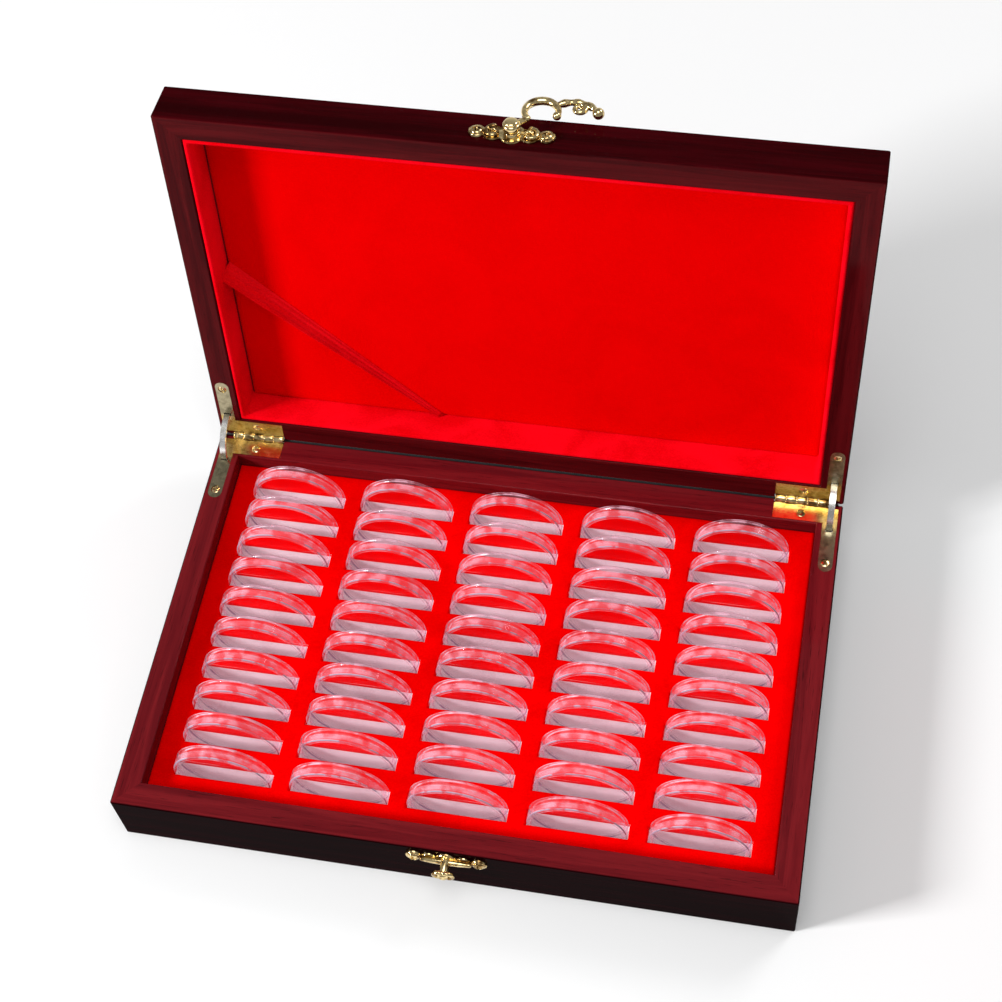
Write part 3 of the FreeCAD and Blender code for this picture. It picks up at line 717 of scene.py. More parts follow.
@dataclass(frozen=True)
class Finishes:
    """One material of each finish, shared by the pieces."""

    velvet: Material
    lining: Material
    strip: Material
    ribbon: Material
    foam: Material
    felt: Material
    board: Material
    clear: Material
    gilt: Material
    brass: Material
    steel: Material

    @classmethod
    def make(cls) -> "Finishes":
        """Make each of them once."""
        return cls(
            velvet=Velvet("insert velvet").material(),
            # painted light and shade: the lid's velvet is a darker copy of the insert's velvet, and the
            # strips' a brighter, pinker copy for the light and sheen on them
            lining=Velvet("lid velvet", colour=(0.74, 0, 0.0003, 1), shade=(0.68, 0, 0, 1)).material(),
            strip=Velvet("strip velvet", colour=(0.90, 0.002, 0.010, 1), shade=(0.66, 0.0, 0.002, 1),
                         sheen=0.12, sheen_tint=(1.0, 0.03, 0.10, 1)).material(),
            ribbon=Velvet("ribbon", colour=(0.84, 0.004, 0.009, 1), shade=(0.64, 0.001, 0.004, 1),
                          pile=1500.0).material(),
            foam=Foam("white foam").material(),
            felt=Felt("black felt").material(),
            board=BoardSheet("stained board").material(),
            clear=ClearShell("clear acrylic").material(),
            # painted shade: the polished gilt's dull tone is almost black-brown, for its dark hollows and
            # reflections
            gilt=Gilt("polished gilt", colour=(1.0, 0.79, 0.40, 1), dull_and_shade=(0.24, 0.13, 0.04, 1),
                      rough=0.09).material(),
            brass=Gilt("screw brass", colour=(0.9, 0.74, 0.42, 1), dull_and_shade=(0.4, 0.3, 0.15, 1),
                       rough=0.14).material(),
            steel=Gilt("bright steel", colour=(0.97, 0.96, 0.94, 1), dull_and_shade=(0.8, 0.78, 0.72, 1),
                       rough=0.24).material(),
        )


# ------------------------------ woodwork
@dataclass
class Carcass:
    """The eight mitred boards, the lid's panel and the bottom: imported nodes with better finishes."""

    nodes: dict[str, Object]
    sizes: CaseSizes
    lid: LidFrame
    finishes: Finishes
    # painted shade and light: the lid's boards take their own copies of the wood's tones, rims about half as
    # bright as the base's and an outside far less dark, set to how the lid's faces are lit
    lid_light: Colour = (0.085, 0.0035, 0.005, 1)
    lid_dark: Colour = (0.04, 0.0012, 0.0022, 1)
    lid_outside: Colour = (0.042, 0.0009, 0.0024, 1)
    lid_gloss: float = 0.1
    bead_radius: float = 0.78 * MM
    bead_points: int = 24

    def bead(self) -> None:
        """A black felt bead along the back, under the hinge line, that covers the open seam: a dark piece put
        where there is only shade, as painted shade for the seam's gap.

        It is a straight bar, and it runs through both hinges' lid leaves and knuckles.
        """
        count = self.bead_points
        x = np.linspace(-1, 1, count) * (self.sizes.half_width - 3 * MM)
        path = np.stack([x, np.full(count, self.sizes.half_depth + 0.5 * MM),
                         np.full(count, self.sizes.rim - 1.1 * MM)], axis=1)
        make_piece("rear_shade_bead", [rod(path, self.bead_radius, 12)], self.finishes.felt, "base")

    def build(self) -> None:
        """Dress every wooden node, with the grain along each board."""
        for part, lid in (("base", None), ("lid", self.lid)):
            for side in ("front", "rear", "left", "right"):
                grain = Grain.WIDTH if side in ("front", "rear") else Grain.DEPTH
                tones = {} if part == "base" else {"light": self.lid_light, "dark": self.lid_dark,
                                                   "outside": self.lid_outside, "gloss": self.lid_gloss}
                finish = Lacquer(f"{part} {side} lacquer", grain, self.sizes, lid, **tones)
                dress(self.nodes[f"{part}_{side}_wall"], finish.material())
        panel = Lacquer("lid panel lacquer", Grain.WIDTH, self.sizes, self.lid, outside=self.lid_outside)
        dress(self.nodes["lid_top_panel"], panel.material())
        self.bead()
        dress(self.nodes["base_bottom_panel"], self.finishes.board)
        dress(self.nodes["base_felt"], self.finishes.felt)
        dress(self.nodes["insert_foam"], self.finishes.foam)


# ------------------------------ insert
@dataclass
class VelvetInsert:
    """The velvet face of the insert: one sheet laid over the foam and rolled into every slot."""

    sizes: CaseSizes
    finishes: Finishes
    roll: float = 1.1 * MM
    tuck: float = 2.4 * MM
    overhang: float = 0.15 * MM
    crown: float = 0.22 * MM
    slot_spare: float = 0.4 * MM

    def lines(self, centres: Array, half: float, edge: float) -> Array:
        """Grid lines along one axis: close together at the slots' edges, wide apart elsewhere.

        Args:
            centres: the slots' middles.
            half: half a slot.
            edge: where the sheet ends, each way.

        Returns:
            The lines in rising order.
        """
        roll = self.roll
        offsets = np.array([-self.overhang - 0.02 * MM, -self.overhang, -0.05 * MM, 0.2 * roll, 0.45 * roll,
                            0.75 * roll, roll, 2 * roll])
        near = (centres[:, None, None] + np.array([-1, 1])[None, :, None] * (half + offsets)).ravel()
        border = (edge - np.array([0, 0.03, 0.25, 0.6, 1.1, 2.2]) * MM)
        between = np.linspace(-edge, edge, 41)
        lines = np.concatenate([near, border, -border, between])
        lines = np.unique(np.round(lines[np.abs(lines) <= edge + 1e-9], 6))
        keep = np.concatenate([[True], np.diff(lines) > 0.015 * MM])
        return lines[keep]

    def drop(self, distance: Array, depth: float) -> Array:
        """How far the sheet has rolled down at a distance from an edge: a quarter circle, then straight."""
        inward = np.clip(self.roll - distance, 0, self.roll)
        circle = self.roll - np.sqrt(self.roll**2 - inward**2)
        return np.where(distance <= 0, depth, circle)

    def build(self, rows: Sequence[Array], columns: Array, radius: float, thick: float) -> Object:
        """Make the sheet.

        The height is the top less the larger of the rolls at the nearest slot and at the border; a
        slot's distance is the usual distance to a rectangle.  Cells inside a slot are left out.

        Args:
            rows: the slots' middles from front to back.
            columns: the slots' middles from left to right.
            radius: a capsule's radius.
            thick: a capsule's thickness.

        Returns:
            The sheet.
        """
        low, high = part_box("insert_velvet")
        half_x, half_y = radius + self.slot_spare, thick / 2 + self.slot_spare
        edge_x, edge_y = high.x + self.overhang, high.y + self.overhang
        x = self.lines(columns, half_x, edge_x)
        y = self.lines(np.asarray(rows), half_y, edge_y)
        gx, gy = np.meshgrid(x, y, indexing="ij")
        away_x = np.abs(gx[..., None] - columns).min(-1) - half_x
        away_y = np.abs(gy[..., None] - np.asarray(rows)).min(-1) - half_y
        outside = np.hypot(np.clip(away_x, 0, None), np.clip(away_y, 0, None))
        inside = np.minimum(np.maximum(away_x, away_y), 0)
        slot = outside + inside + self.overhang
        border = np.minimum(edge_x - np.abs(gx), edge_y - np.abs(gy))
        fall = np.maximum(self.drop(slot, self.tuck), self.drop(border, self.tuck))
        swell = self.crown * np.clip(slot / (3.5 * MM), 0, 1) ** 0.5
        wave = 0.08 * MM * np.sin(gx * 95 + 0.7) * np.sin(gy * 130 + 1.9)
        points = np.stack([gx, gy, high.z - 0.25 * MM - fall + swell + wave], axis=-1).reshape(-1, 3)
        faces = quads(len(x), len(y))
        gone = (slot.ravel()[faces] < -0.005 * MM).all(axis=1)
        kept = faces[~gone]
        used, index = np.unique(kept, return_inverse=True)
        skin = Skin(points[used], index.reshape(kept.shape)[:, ::-1].tolist())
        return make_piece("velvet_face", [skin], self.finishes.velvet, "base",
                          ["insert_velvet"], crease=80, closed=False)


@dataclass
class CapsuleRow:
    """Five clear capsules on edge; each is a front and a back shell that snap together."""

    number: int
    finishes: Finishes
    sides: int = 80
    wall: float = 1.0 * MM
    face_back: float = 0.55 * MM

    def shell(self, radius: float, half: float, nests: bool) -> Array:
        """The closed section of one shell, with the seam at height 0.

        A raised rim stands round a face that lies a little lower; the wall runs to the seam, and one
        of the two shells has a thinner lip that goes inside the other.

        Args:
            radius: the capsule's radius.
            half: half its thickness.
            nests: this is the shell with the lip.

        Returns:
            Rows of radius, height and the share of milky body, whose high values paint shade on the rims,
            from the face's middle to the inside's middle.
        """
        rim, wall, face = 1.9 * MM, self.wall, half - self.face_back
        bevel, mid = 0.35 * MM, radius - self.wall
        ledge, floor = radius - rim, face - wall
        outer = [[0, face, 0.0], [ledge - 0.8 * MM, face, 0.0], [ledge - bevel, face, 0.05],
                 [ledge, half, 0.5], [ledge + bevel, half, 0.1], [radius - 2 * bevel, half, 0.08],
                 [radius - bevel, half, 0.75], [radius, half - bevel, 0.6],
                 [radius, half - 2 * bevel, 0.06], [radius, 0.4 * MM, 0.06], [radius, 0.05 * MM, 0.2]]
        bore = radius - 1.7 * wall if nests else mid
        lip = [[mid - 0.05 * MM, -1.5 * MM, 0.1], [bore, -1.5 * MM, 0.1]] if nests else []
        inner = [[mid, 0.05 * MM, 0.1], *lip, [bore, floor - bevel, 0.05], [bore - bevel, floor, 0.05],
                 [bore - 1.2 * MM, floor, 0.0], [0, floor, 0.0]]
        return np.array(outer + inner)

    def build(self) -> Object:
        """Make the row's shells where its packed discs stand."""
        node = f"capsules_row_{self.number:02d}"
        low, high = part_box(node)
        radius = (high.z - low.z) / 2 - 0.04 * MM
        half = (high.y - low.y) / 2
        middle = np.array(high + low) / 2
        pitch = ((high.x - low.x) - 2 * radius) / (COLUMNS - 1)
        sections = [self.shell(radius, half, nests) for nests in (False, True)]
        shells = [lathe(section[:, :2], self.sides) for section in sections]
        haze_and_rim_shade_rows = [np.append(np.repeat(one[1:-1, 2], self.sides), one[[0, -1], 2]) for one in sections]
        towards_front = np.array([[1, 0, 0], [0, 0, -1], [0, 1, 0]])
        towards_back = np.array([[1, 0, 0], [0, 0, 1], [0, -1, 0]])
        skins = []
        for column in range(COLUMNS):
            place = middle + np.array([(column - COLUMNS // 2) * pitch, 0, 0])
            skins.append(shells[0].mapped(towards_front, place))
            skins.append(shells[1].mapped(towards_back, place))
        return make_piece(f"clear_capsules_{self.number:02d}", skins, self.finishes.clear, node,
                          [node], crease=25, haze_and_rim_shade=np.tile(np.concatenate(haze_and_rim_shade_rows), COLUMNS))


# ------------------------------ lid lining
@dataclass
class LidLining:
    """The lid's velvet: a thinly padded panel, and a velvet-covered strip round its four sides."""

    sizes: CaseSizes
    lid: LidFrame
    finishes: Finishes
    crown: float = 0.35 * MM
    seam: float = 0.75 * MM
    corner: float = 0.35 * MM
    steps: tuple[int, int] = (150, 100)

    def panel(self) -> Object:
        """The padded panel: a sheet that bellies a little and dips to its edges, on a flat back."""
        low, high = self.lid.shut_box(bpy.data.objects["lid_panel_pad"])
        low[0] += self.seam
        u = np.linspace(-1, 1, self.steps[0])
        v = np.linspace(-1, 1, self.steps[1])
        u, v = np.sin(u * np.pi / 2) * 0.5 + u * 0.5, np.sin(v * np.pi / 2) * 0.5 + v * 0.5
        gu, gv = np.meshgrid(u, v, indexing="ij")
        x = (low[0] + high[0]) / 2 + gu * (high[0] - low[0]) / 2
        y = (low[1] + high[1]) / 2 + gv * (high[1] - low[1]) / 2
        edge = np.minimum(x - low[0], np.minimum(high[0] - x, np.minimum(y - low[1], high[1] - y)))
        dip = 0.85 * MM * np.exp(-edge / (0.9 * MM))
        belly = self.crown * (1 - gu**6) * (1 - gv**6)
        slack = 0.1 * MM * np.sin(x * 41 + 0.5) * np.sin(y * 57 + 1.1)
        pucker_x, pucker_y = x - (low[0] + 9 * MM), y - (high[1] - 4.5 * MM)
        fade = np.exp(-(pucker_x / (9 * MM)) ** 2 - (pucker_y / (3 * MM)) ** 2)
        ridge = np.sin(pucker_x / (2.6 * MM)) * fade
        z = low[2] + dip - belly + slack * (1 - gu**8) * (1 - gv**8) - 0.55 * MM * ridge
        front = np.stack([x, y, z], axis=-1).reshape(-1, 3)
        back = np.stack([x, y, np.full_like(x, high[2])], axis=-1).reshape(-1, 3)
        rows, columns = gu.shape
        grid = quads(rows, columns)
        ring = np.concatenate([np.arange(columns), (np.arange(1, rows) + 1) * columns - 1,
                               (rows - 1) * columns + np.arange(columns - 2, -1, -1),
                               np.arange(rows - 2, 0, -1) * columns])
        after = np.roll(ring, -1)
        side = np.stack([ring, after, after + rows * columns, ring + rows * columns], axis=1)
        faces = grid.tolist() + (grid[:, ::-1] + rows * columns).tolist() + side.tolist()
        pad = make_piece("lid_padding", self.lid.opened([Skin(np.concatenate([front, back]), faces)]),
                         self.finishes.lining, "lid", ["lid_panel_pad"], crease=60)
        return pad

    def outline(self, inset: Array, count: int = 7) -> tuple[Array, Array]:
        """Rounded rectangles inside the lid's walls, one for each inset.

        Each is a set of quarter circles, one at each corner; straight runs join them.

        Args:
            inset: distances from the walls.
            count: points on a quarter circle.

        Returns:
            The x and y of each point, one row per inset.
        """
        half_x = self.sizes.half_width - self.sizes.wall - inset[:, None]
        half_y = self.sizes.half_depth - self.sizes.wall - inset[:, None]
        radius = (self.corner + 0.5 * inset)[:, None]
        turn = np.linspace(0, np.pi / 2, count)
        quarter = np.concatenate([turn + n * np.pi / 2 for n in range(4)])
        sign_x = np.repeat([1, -1, -1, 1], count)
        sign_y = np.repeat([1, 1, -1, -1], count)
        x = sign_x * (half_x - radius) + radius * np.cos(quarter)
        y = sign_y * (half_y - radius) + radius * np.sin(quarter)
        return x, y

    def strips(self) -> Object:
        """The strip: a rounded section carried round the inside of the lid."""
        low, high = self.lid.shut_box(bpy.data.objects["lid_lining_left"])
        thick, edge = self.sizes.lining, 1.2 * MM
        turn = np.linspace(np.pi, 0, 9)
        lip_inset = thick / 2 - np.cos(turn[::-1]) * (thick / 2 - 0.02 * MM)
        lip_z = low[2] + edge * (1 - np.sin(turn))
        inset = np.concatenate([lip_inset, [thick + 0.08 * MM, thick, 0.02 * MM]])
        z = np.concatenate([lip_z, [(low[2] + high[2]) / 2, high[2], high[2]]])
        x, y = self.outline(inset)
        height = np.broadcast_to(z[:, None], x.shape)
        points = np.stack([x, y, height], axis=-1).reshape(-1, 3)
        faces = quads(len(inset), x.shape[1], wrap_rows=True, wrap_columns=True).tolist()
        linings = [f"lid_lining_{side}" for side in ("left", "right", "front", "rear")]
        return make_piece("lid_side_strips", self.lid.opened([Skin(points, faces)]), self.finishes.strip,
                          "lid", linings, crease=60)


@dataclass
class Ribbon:
    """The ribbon across the lid's rear left corner, which keeps papers in place.

    It leaves the left strip standing on edge and comes to the rear strip lying flat, so it twists by a
    quarter turn along its length and shows a soft fold down its middle.
    """

    sizes: CaseSizes
    lid: LidFrame
    finishes: Finishes
    width: float = 10 * MM
    thick: float = 0.3 * MM
    start: tuple[float, float] = (2.7 * MM, 92.5 * MM)
    end: tuple[float, float] = (101 * MM, 2.9 * MM)
    start_drop: float = 4.4 * MM
    end_drop: float = 0.9 * MM
    narrowing: float = 0.74
    grid: tuple[int, int] = (60, 25)

    def build(self) -> Object:
        """Make the ribbon.

        A point is the line's place, plus a share of half the width along a direction that turns from
        the lid's depth to its plane, plus a shallow arch with two folds across the width.
        """
        sizes = self.sizes
        wall_x, wall_y = sizes.half_width - sizes.wall, sizes.half_depth - sizes.wall
        s = np.linspace(0, 1, self.grid[0])[:, None]
        v = np.linspace(-1, 1, self.grid[1])[None, :]
        first = np.array([-wall_x + self.start[0], wall_y - self.start[1], sizes.ceiling - self.start_drop])
        last = np.array([-wall_x + self.end[0], wall_y - self.end[1], sizes.ceiling - self.end_drop])
        line = first + s[..., None] * (last - first)
        run = (last - first) / np.linalg.norm(last - first)
        deep = np.array([0, 0, -1.0])
        flat = np.cross(run, deep)
        deep = deep - run * (deep @ run)
        turn = (s * 0.4 + 0.3) * np.pi / 2
        half = self.width / 2 * (1 - self.narrowing * s)
        across = np.cos(turn)[..., None] * deep + np.sin(turn)[..., None] * flat
        arch = np.cos(turn)[..., None] * flat - np.sin(turn)[..., None] * deep
        fold = 0.9 * MM * (1 - v**2) + 0.4 * MM * np.cos(v * 8.5 + s * 1.5)
        points = line + (half * v)[..., None] * across + (fold * (1 - 0.75 * s))[..., None] * arch
        skin = Skin(points.reshape(-1, 3), quads(*self.grid).tolist())
        ribbon = make_piece("lid_ribbon_strip", self.lid.opened([skin]), self.finishes.ribbon, "lid",
                            ["lid_ribbon"], crease=80, closed=False)
        shell = ribbon.modifiers.new("thickness", "SOLIDIFY")
        shell.thickness, shell.offset = self.thick, 0.0
        length = float(np.linalg.norm(last - first))
        length * float(2 * half.mean())
        face, behind = self.lid.open([[0, 0, sizes.ceiling], [0, 0, sizes.ceiling + MM]])
        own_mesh(ribbon)
        return ribbon


# ------------------------------ hardware
@dataclass
class CrossHead:
    """A domed screw head with a cross recess."""

    radius: float
    height: float
    edge: float = 0.25 * MM
    rings: int = 14
    sides: int = 48

    def skin(self) -> Skin:
        """The head, standing on the plane z = 0: a dome less a cross that gets shallower outwards."""
        radii = self.radius * np.sin(np.linspace(0, np.pi / 2, self.rings + 1)[1:])
        turn = np.linspace(0, 2 * np.pi, self.sides, endpoint=False)
        x, y = radii[:, None] * np.cos(turn), radii[:, None] * np.sin(turn)
        dome = self.edge + self.height * np.sqrt(np.clip(1 - (radii / self.radius) ** 2, 0, 1))[:, None]
        arm = 0.14 * self.radius
        reach = np.clip(1 - np.hypot(x, y) / (0.72 * self.radius), 0, 1)
        slot = np.minimum(np.abs(x), np.abs(y))
        depth = 0.9 * self.height * np.clip(reach * 3, 0, 1) * (slot < arm)
        z = dome + np.zeros_like(x) - depth
        rim = np.stack([x[-1], y[-1], np.zeros(self.sides)], axis=-1)
        points = np.concatenate([np.stack([x, y, z], axis=-1).reshape(-1, 3), rim,
                                 [[0, 0, self.edge + 0.1 * self.height], [0, 0, 0]]])
        faces = quads(self.rings + 1, self.sides, wrap_columns=True)[:, ::-1].tolist()
        ring = np.arange(self.sides)
        faces += fan(len(points) - 2, ring) + fan(len(points) - 1, (ring + self.rings * self.sides)[::-1])
        return Skin(points, faces)


@dataclass
class Hinges:
    """Two quadrant hinges: packed leaves, pins and stays, with rolled knuckles and screw heads on them."""

    nodes: dict[str, Object]
    sizes: CaseSizes
    lid: LidFrame
    finishes: Finishes
    knuckle_radius: float = 2.3 * MM
    knuckle_length: float = 5.2 * MM
    knuckle_start: float = 7 * MM
    play: float = 0.25 * MM
    screws: tuple[tuple[float, float], ...] = ((5.5 * MM, 33.2 * MM), (19.8 * MM, 7 * MM))

    def knuckle(self) -> Skin:
        """A rolled knuckle round the X axis, its ends softly rounded."""
        radius, length, soft = self.knuckle_radius, self.knuckle_length - self.play, 0.35 * MM
        turn = np.linspace(0, np.pi / 2, 4)
        near = np.stack([radius - soft + soft * np.sin(turn), soft - soft * np.cos(turn)], axis=1)
        far = np.stack([near[::-1, 0], length - near[::-1, 1]], axis=1)
        bore = [[1.3 * MM, length], [1.3 * MM, 0]]
        ring = lathe(np.concatenate([near, far, bore]), 32)
        return ring.mapped(np.array([[0, 0, 1], [1, 0, 0], [0, 1, 0]]), (0, 0, 0))

    def build(self) -> None:
        """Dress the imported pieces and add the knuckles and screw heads."""
        knuckle = self.knuckle()
        start = -self.sizes.half_width + self.knuckle_start
        _, axis_y, axis_z = self.lid.pivot
        for part, turns in (("base", (0, 2, 4)), ("lid", (1, 3))):
            skins = []
            for side in (1, -1):
                for number in turns:
                    near = start + number * self.knuckle_length + self.play / 2
                    near = near if side == 1 else -near - self.knuckle_length + self.play
                    skins.append(knuckle.moved((near, axis_y, axis_z)))
            make_piece(f"{part}_knuckles", skins, self.finishes.gilt, part, crease=50)
            leaf = Gilt(f"{part} leaf brass", colour=(0.47, 0.41, 0.26, 1), dull_and_shade=(0.3, 0.26, 0.16, 1),
                        rough=0.2, grit=0.12, bright_from=self.sizes.half_depth - 14 * MM,
                        lid=self.lid if part == "lid" else None).material()
            for side in ("left", "right"):
                dress(self.nodes[f"{part}_hinge_leaf_{side}"], leaf)
            self.screw_heads(part)
        for side in ("left", "right"):
            dress(self.nodes[f"hinge_pin_{side}"], self.finishes.gilt)
            dress(self.nodes[f"stay_{side}"], self.finishes.steel)

    def screw_heads(self, part: str) -> None:
        """Cross-recessed heads sunk in one part's leaves; those of the lid look down when it is shut."""
        head = CrossHead(2.25 * MM, 0.75 * MM).skin()
        up = 1 if part == "base" else -1
        sunk = 0.95 * MM
        z = self.sizes.rim - sunk if part == "base" else self.sizes.lid_rim + sunk
        skins = []
        for number, (from_side, from_rear) in enumerate(self.screws):
            for side in (-1, 1):
                turn = 0.5 + 0.9 * number + 0.4 * side
                axes = np.array([[math.cos(turn), -math.sin(turn) * up, 0],
                                 [math.sin(turn), math.cos(turn) * up, 0], [0, 0, up]])
                place = (side * (self.sizes.half_width - from_side), self.sizes.half_depth - from_rear, z)
                skins.append(head.mapped(axes, place))
        if part == "lid":
            skins = self.lid.opened(skins)
        make_piece(f"{part}_screw_heads", skins, self.finishes.brass, part,
                   [f"{part}_hinge_screws"], crease=30)


@dataclass
class Clasp:
    """The scrolled clasp: plate, rivet and swinging hook on the lid; plate and horned catch on the base."""

    sizes: CaseSizes
    lid: LidFrame
    finishes: Finishes
    pivot_up: float = 8.5 * MM
    catch_down: float = 7 * MM
    hook_out: float = 5 * MM
    bow_radius: float = 7.2 * MM
    bow_reach: float = 15.5 * MM
    boss_side: float = 15 * MM
    eye_side: float = 8 * MM
    boss_lobe: float = 3.8 * MM
    plate_thick: float = 1.3 * MM
    lever: tuple[float, float, float] = (24.7 * MM, 6.8 * MM, 12 * MM)

    def cast(self, name: str, skins: Sequence[Skin], body: str, node: str, crease: float = 50) -> None:
        """One gilt piece; what the lid carries is drawn shut and swung to rest."""
        skins = skins if body == "base" else self.lid.opened(skins)
        make_piece(name, skins, self.finishes.gilt, body, [node], crease=crease)

    def boss_ring(self, side: int, z: float) -> Skin:
        """The raised ring round one screw of a plate."""
        centre = self.place(side * self.boss_side, 1.0 * MM, z)
        return rod(arc(centre, 3.1 * MM, 0, 359, 30), 0.5 * MM, 8)

    def place(self, x: float, out: float, z: float) -> Array:
        """A point by its distance to the right, out from the front face, and its height."""
        return np.array([x, -self.sizes.half_depth - out, z])

    def facing(self, skin: Skin, x: float, out: float, z: float) -> Skin:
        """A patch that stands on z = 0, set on the front face and facing the front."""
        return skin.mapped(np.array([[1, 0, 0], [0, 0, -1], [0, 1, 0]]), self.place(x, out, z))

    def ball(self, radius: float, x: float, out: float, z: float, flat: float = 1.0) -> Skin:
        """A ball, or one flattened towards the face."""
        turn = np.linspace(-np.pi / 2, np.pi / 2, 13)
        profile = np.stack([radius * np.cos(turn), flat * radius * np.sin(turn)], axis=1)
        profile[[0, -1], 0] = 0
        return self.facing(lathe(profile, 24), x, out, z)

    def lobed_plate(self, middle: float, eye: float, z: float) -> Skin:
        """A cushioned plate whose outline is the union of five discs along a line.

        Its half height at x is the tallest disc there; across its height it bellies like a low dome
        with a rolled border.

        Args:
            middle: the middle disc's radius.
            eye: the radius of the discs beside it.
            z: the line's height.

        Returns:
            The plate, flat at the back.
        """
        thick = self.plate_thick
        lobes = [(0, middle), (-self.eye_side, eye), (self.eye_side, eye),
                 (-self.boss_side, self.boss_lobe), (self.boss_side, self.boss_lobe)]
        end = max(abs(place) + radius for place, radius in lobes)
        x = end * np.sin(np.linspace(-np.pi / 2, np.pi / 2, 121))
        places, radii = np.array(lobes).T
        half = np.sqrt(np.clip(radii**2 - (x[:, None] - places) ** 2, 0, None)).max(1)
        v = np.sin(np.linspace(-np.pi / 2, np.pi / 2, 25))
        body = np.sqrt(np.clip(1 - v**2, 0, 1))
        rise = 0.62 + 0.38 * np.cos(v * np.pi * 2) * 0.35
        out = thick * np.minimum(body * 2.2, rise + 0.2 * body)
        ends = np.clip(half / (1.2 * MM), 0, 1)
        gx = np.broadcast_to(x[:, None], (len(x), len(v)))
        front = np.stack([gx, -self.sizes.half_depth - out[None, :] * ends[:, None],
                          z + half[:, None] * v], axis=-1)
        back = front.copy()
        back[..., 1] = -self.sizes.half_depth + 0.05 * MM
        grid = quads(len(x), len(v))
        faces = grid.tolist() + (grid[:, ::-1] + len(x) * len(v)).tolist()
        for edge in (0, len(v) - 1):
            line = np.arange(len(x)) * len(v) + edge
            behind = line + len(x) * len(v)
            faces += np.stack([line[:-1], line[1:], behind[1:], behind[:-1]], axis=1).tolist()
        return Skin(np.concatenate([front.reshape(-1, 3), back.reshape(-1, 3)]), faces)

    def scroll(self, x: float, out: float, z: float, size: float, start: float, sweep: float,
               rod_from: float, rod_to: float) -> Skin:
        """A tapering bar wound into a spiral that shrinks to a third of its size."""
        share = np.linspace(0, 1, 34)
        path = arc(self.place(x, out, z), size * (1 - 0.66 * share), start, sweep, 34)
        return rod(path, rod_from + (rod_to - rod_from) * share, 10)

    def nail_heads(self, z: float, name: str, body: str, node: str) -> None:
        """The two screws of a plate."""
        head = CrossHead(2.8 * MM, 1.5 * MM).skin()
        skins = [self.facing(head, side * self.boss_side, 1.0 * MM, z) for side in (-1, 1)]
        self.cast(name, skins, body, node, crease=30)

    def lid_plate(self) -> None:
        """The lid's plate with its scrolled eyes, and the rivet that the hook turns on."""
        z = self.sizes.lid_rim + self.pivot_up
        skins = [self.lobed_plate(6 * MM, 4.6 * MM, z)]
        collar = dome_profile(3.4 * MM, 0.4 * MM, 2.7 * MM)
        skins.append(self.facing(lathe(collar, 40), 0, 0, z))
        for side in (-1, 1):
            skins.append(self.scroll(side * self.eye_side, 1.5 * MM, z, 3.5 * MM, 90, -side * 400,
                                     1.05 * MM, 0.75 * MM))
            skins.append(self.boss_ring(side, z))
        self.cast("clasp_scroll_plate", skins, "lid", "clasp_lid_plate")
        self.nail_heads(z, "clasp_plate_screws", "lid", "clasp_lid_screws")
        rivet = dome_profile(3.0 * MM, 1.0 * MM, 0.35 * MM)
        shank = dome_profile(1.45 * MM, 0.3 * MM, 6.4 * MM)
        pivot = [self.facing(lathe(rivet, 32), 0, 6.85 * MM, z),
                 self.facing(lathe(shank, 24), 0, 0.5 * MM, z)]
        self.cast("clasp_rivet", pivot, "lid", "clasp_pivot", crease=40)

    def hook(self) -> None:
        """The hook: a hub, a bow that swells at its back and ends in a ball, and a curled thumb lever."""
        z = self.sizes.lid_rim + self.pivot_up
        lean = math.radians(45)
        hub = np.array([[1.62, -1.5], [1.62, 1.5], [2.2, 1.7], [3.3, 1.7], [3.8, 1.2], [3.8, -1.2],
                        [3.3, -1.7], [2.2, -1.7]]) * MM
        bow_x, bow_z = self.bow_reach * math.cos(lean), z + self.bow_reach * math.sin(lean)
        share = np.linspace(0, 1, 48)
        swell = 1.4 * MM + 0.45 * MM * np.sin(np.pi * share) ** 2
        neck = np.array([1, 0, 1]) * (self.bow_reach - self.bow_radius - 1.2 * MM) * 0.7071
        foot = self.place(0.9 * MM, self.hook_out, z + 0.9 * MM)
        skins = [
            self.facing(lathe(hub, 36), 0, self.hook_out, z),
            rod(np.array([foot + neck * t for t in (0.25, 0.6, 1.0)]), 1.35 * MM, 14),
            rod(arc(self.place(bow_x, self.hook_out, bow_z), self.bow_radius, 225, -240, 48), swell, 14),
        ]
        tip = math.radians(-15)
        skins.append(self.ball(1.9 * MM, bow_x + self.bow_radius * math.cos(tip), self.hook_out,
                               bow_z + self.bow_radius * math.sin(tip)))
        lever_x, lever_up, lever_radius = self.lever
        lever = self.place(lever_x, self.hook_out, z + lever_up)
        thick = 1.35 + 0.5 * np.sin(np.linspace(0, 3.5 * np.pi, 36)) ** 2
        skins.append(rod(arc(lever, lever_radius, 128, -97, 36), thick * MM, 12))
        thumb = math.radians(31)
        skins.append(self.ball(2.6 * MM, lever_x + lever_radius * math.cos(thumb), self.hook_out,
                               z + lever_up + lever_radius * math.sin(thumb)))
        skins.append(self.scroll(26.5 * MM, self.hook_out, z + 14.9 * MM, 3.3 * MM, 100, -430,
                                 1.35 * MM, 0.9 * MM))
        self.cast("clasp_swing_hook", skins, "hook", "clasp_hook")

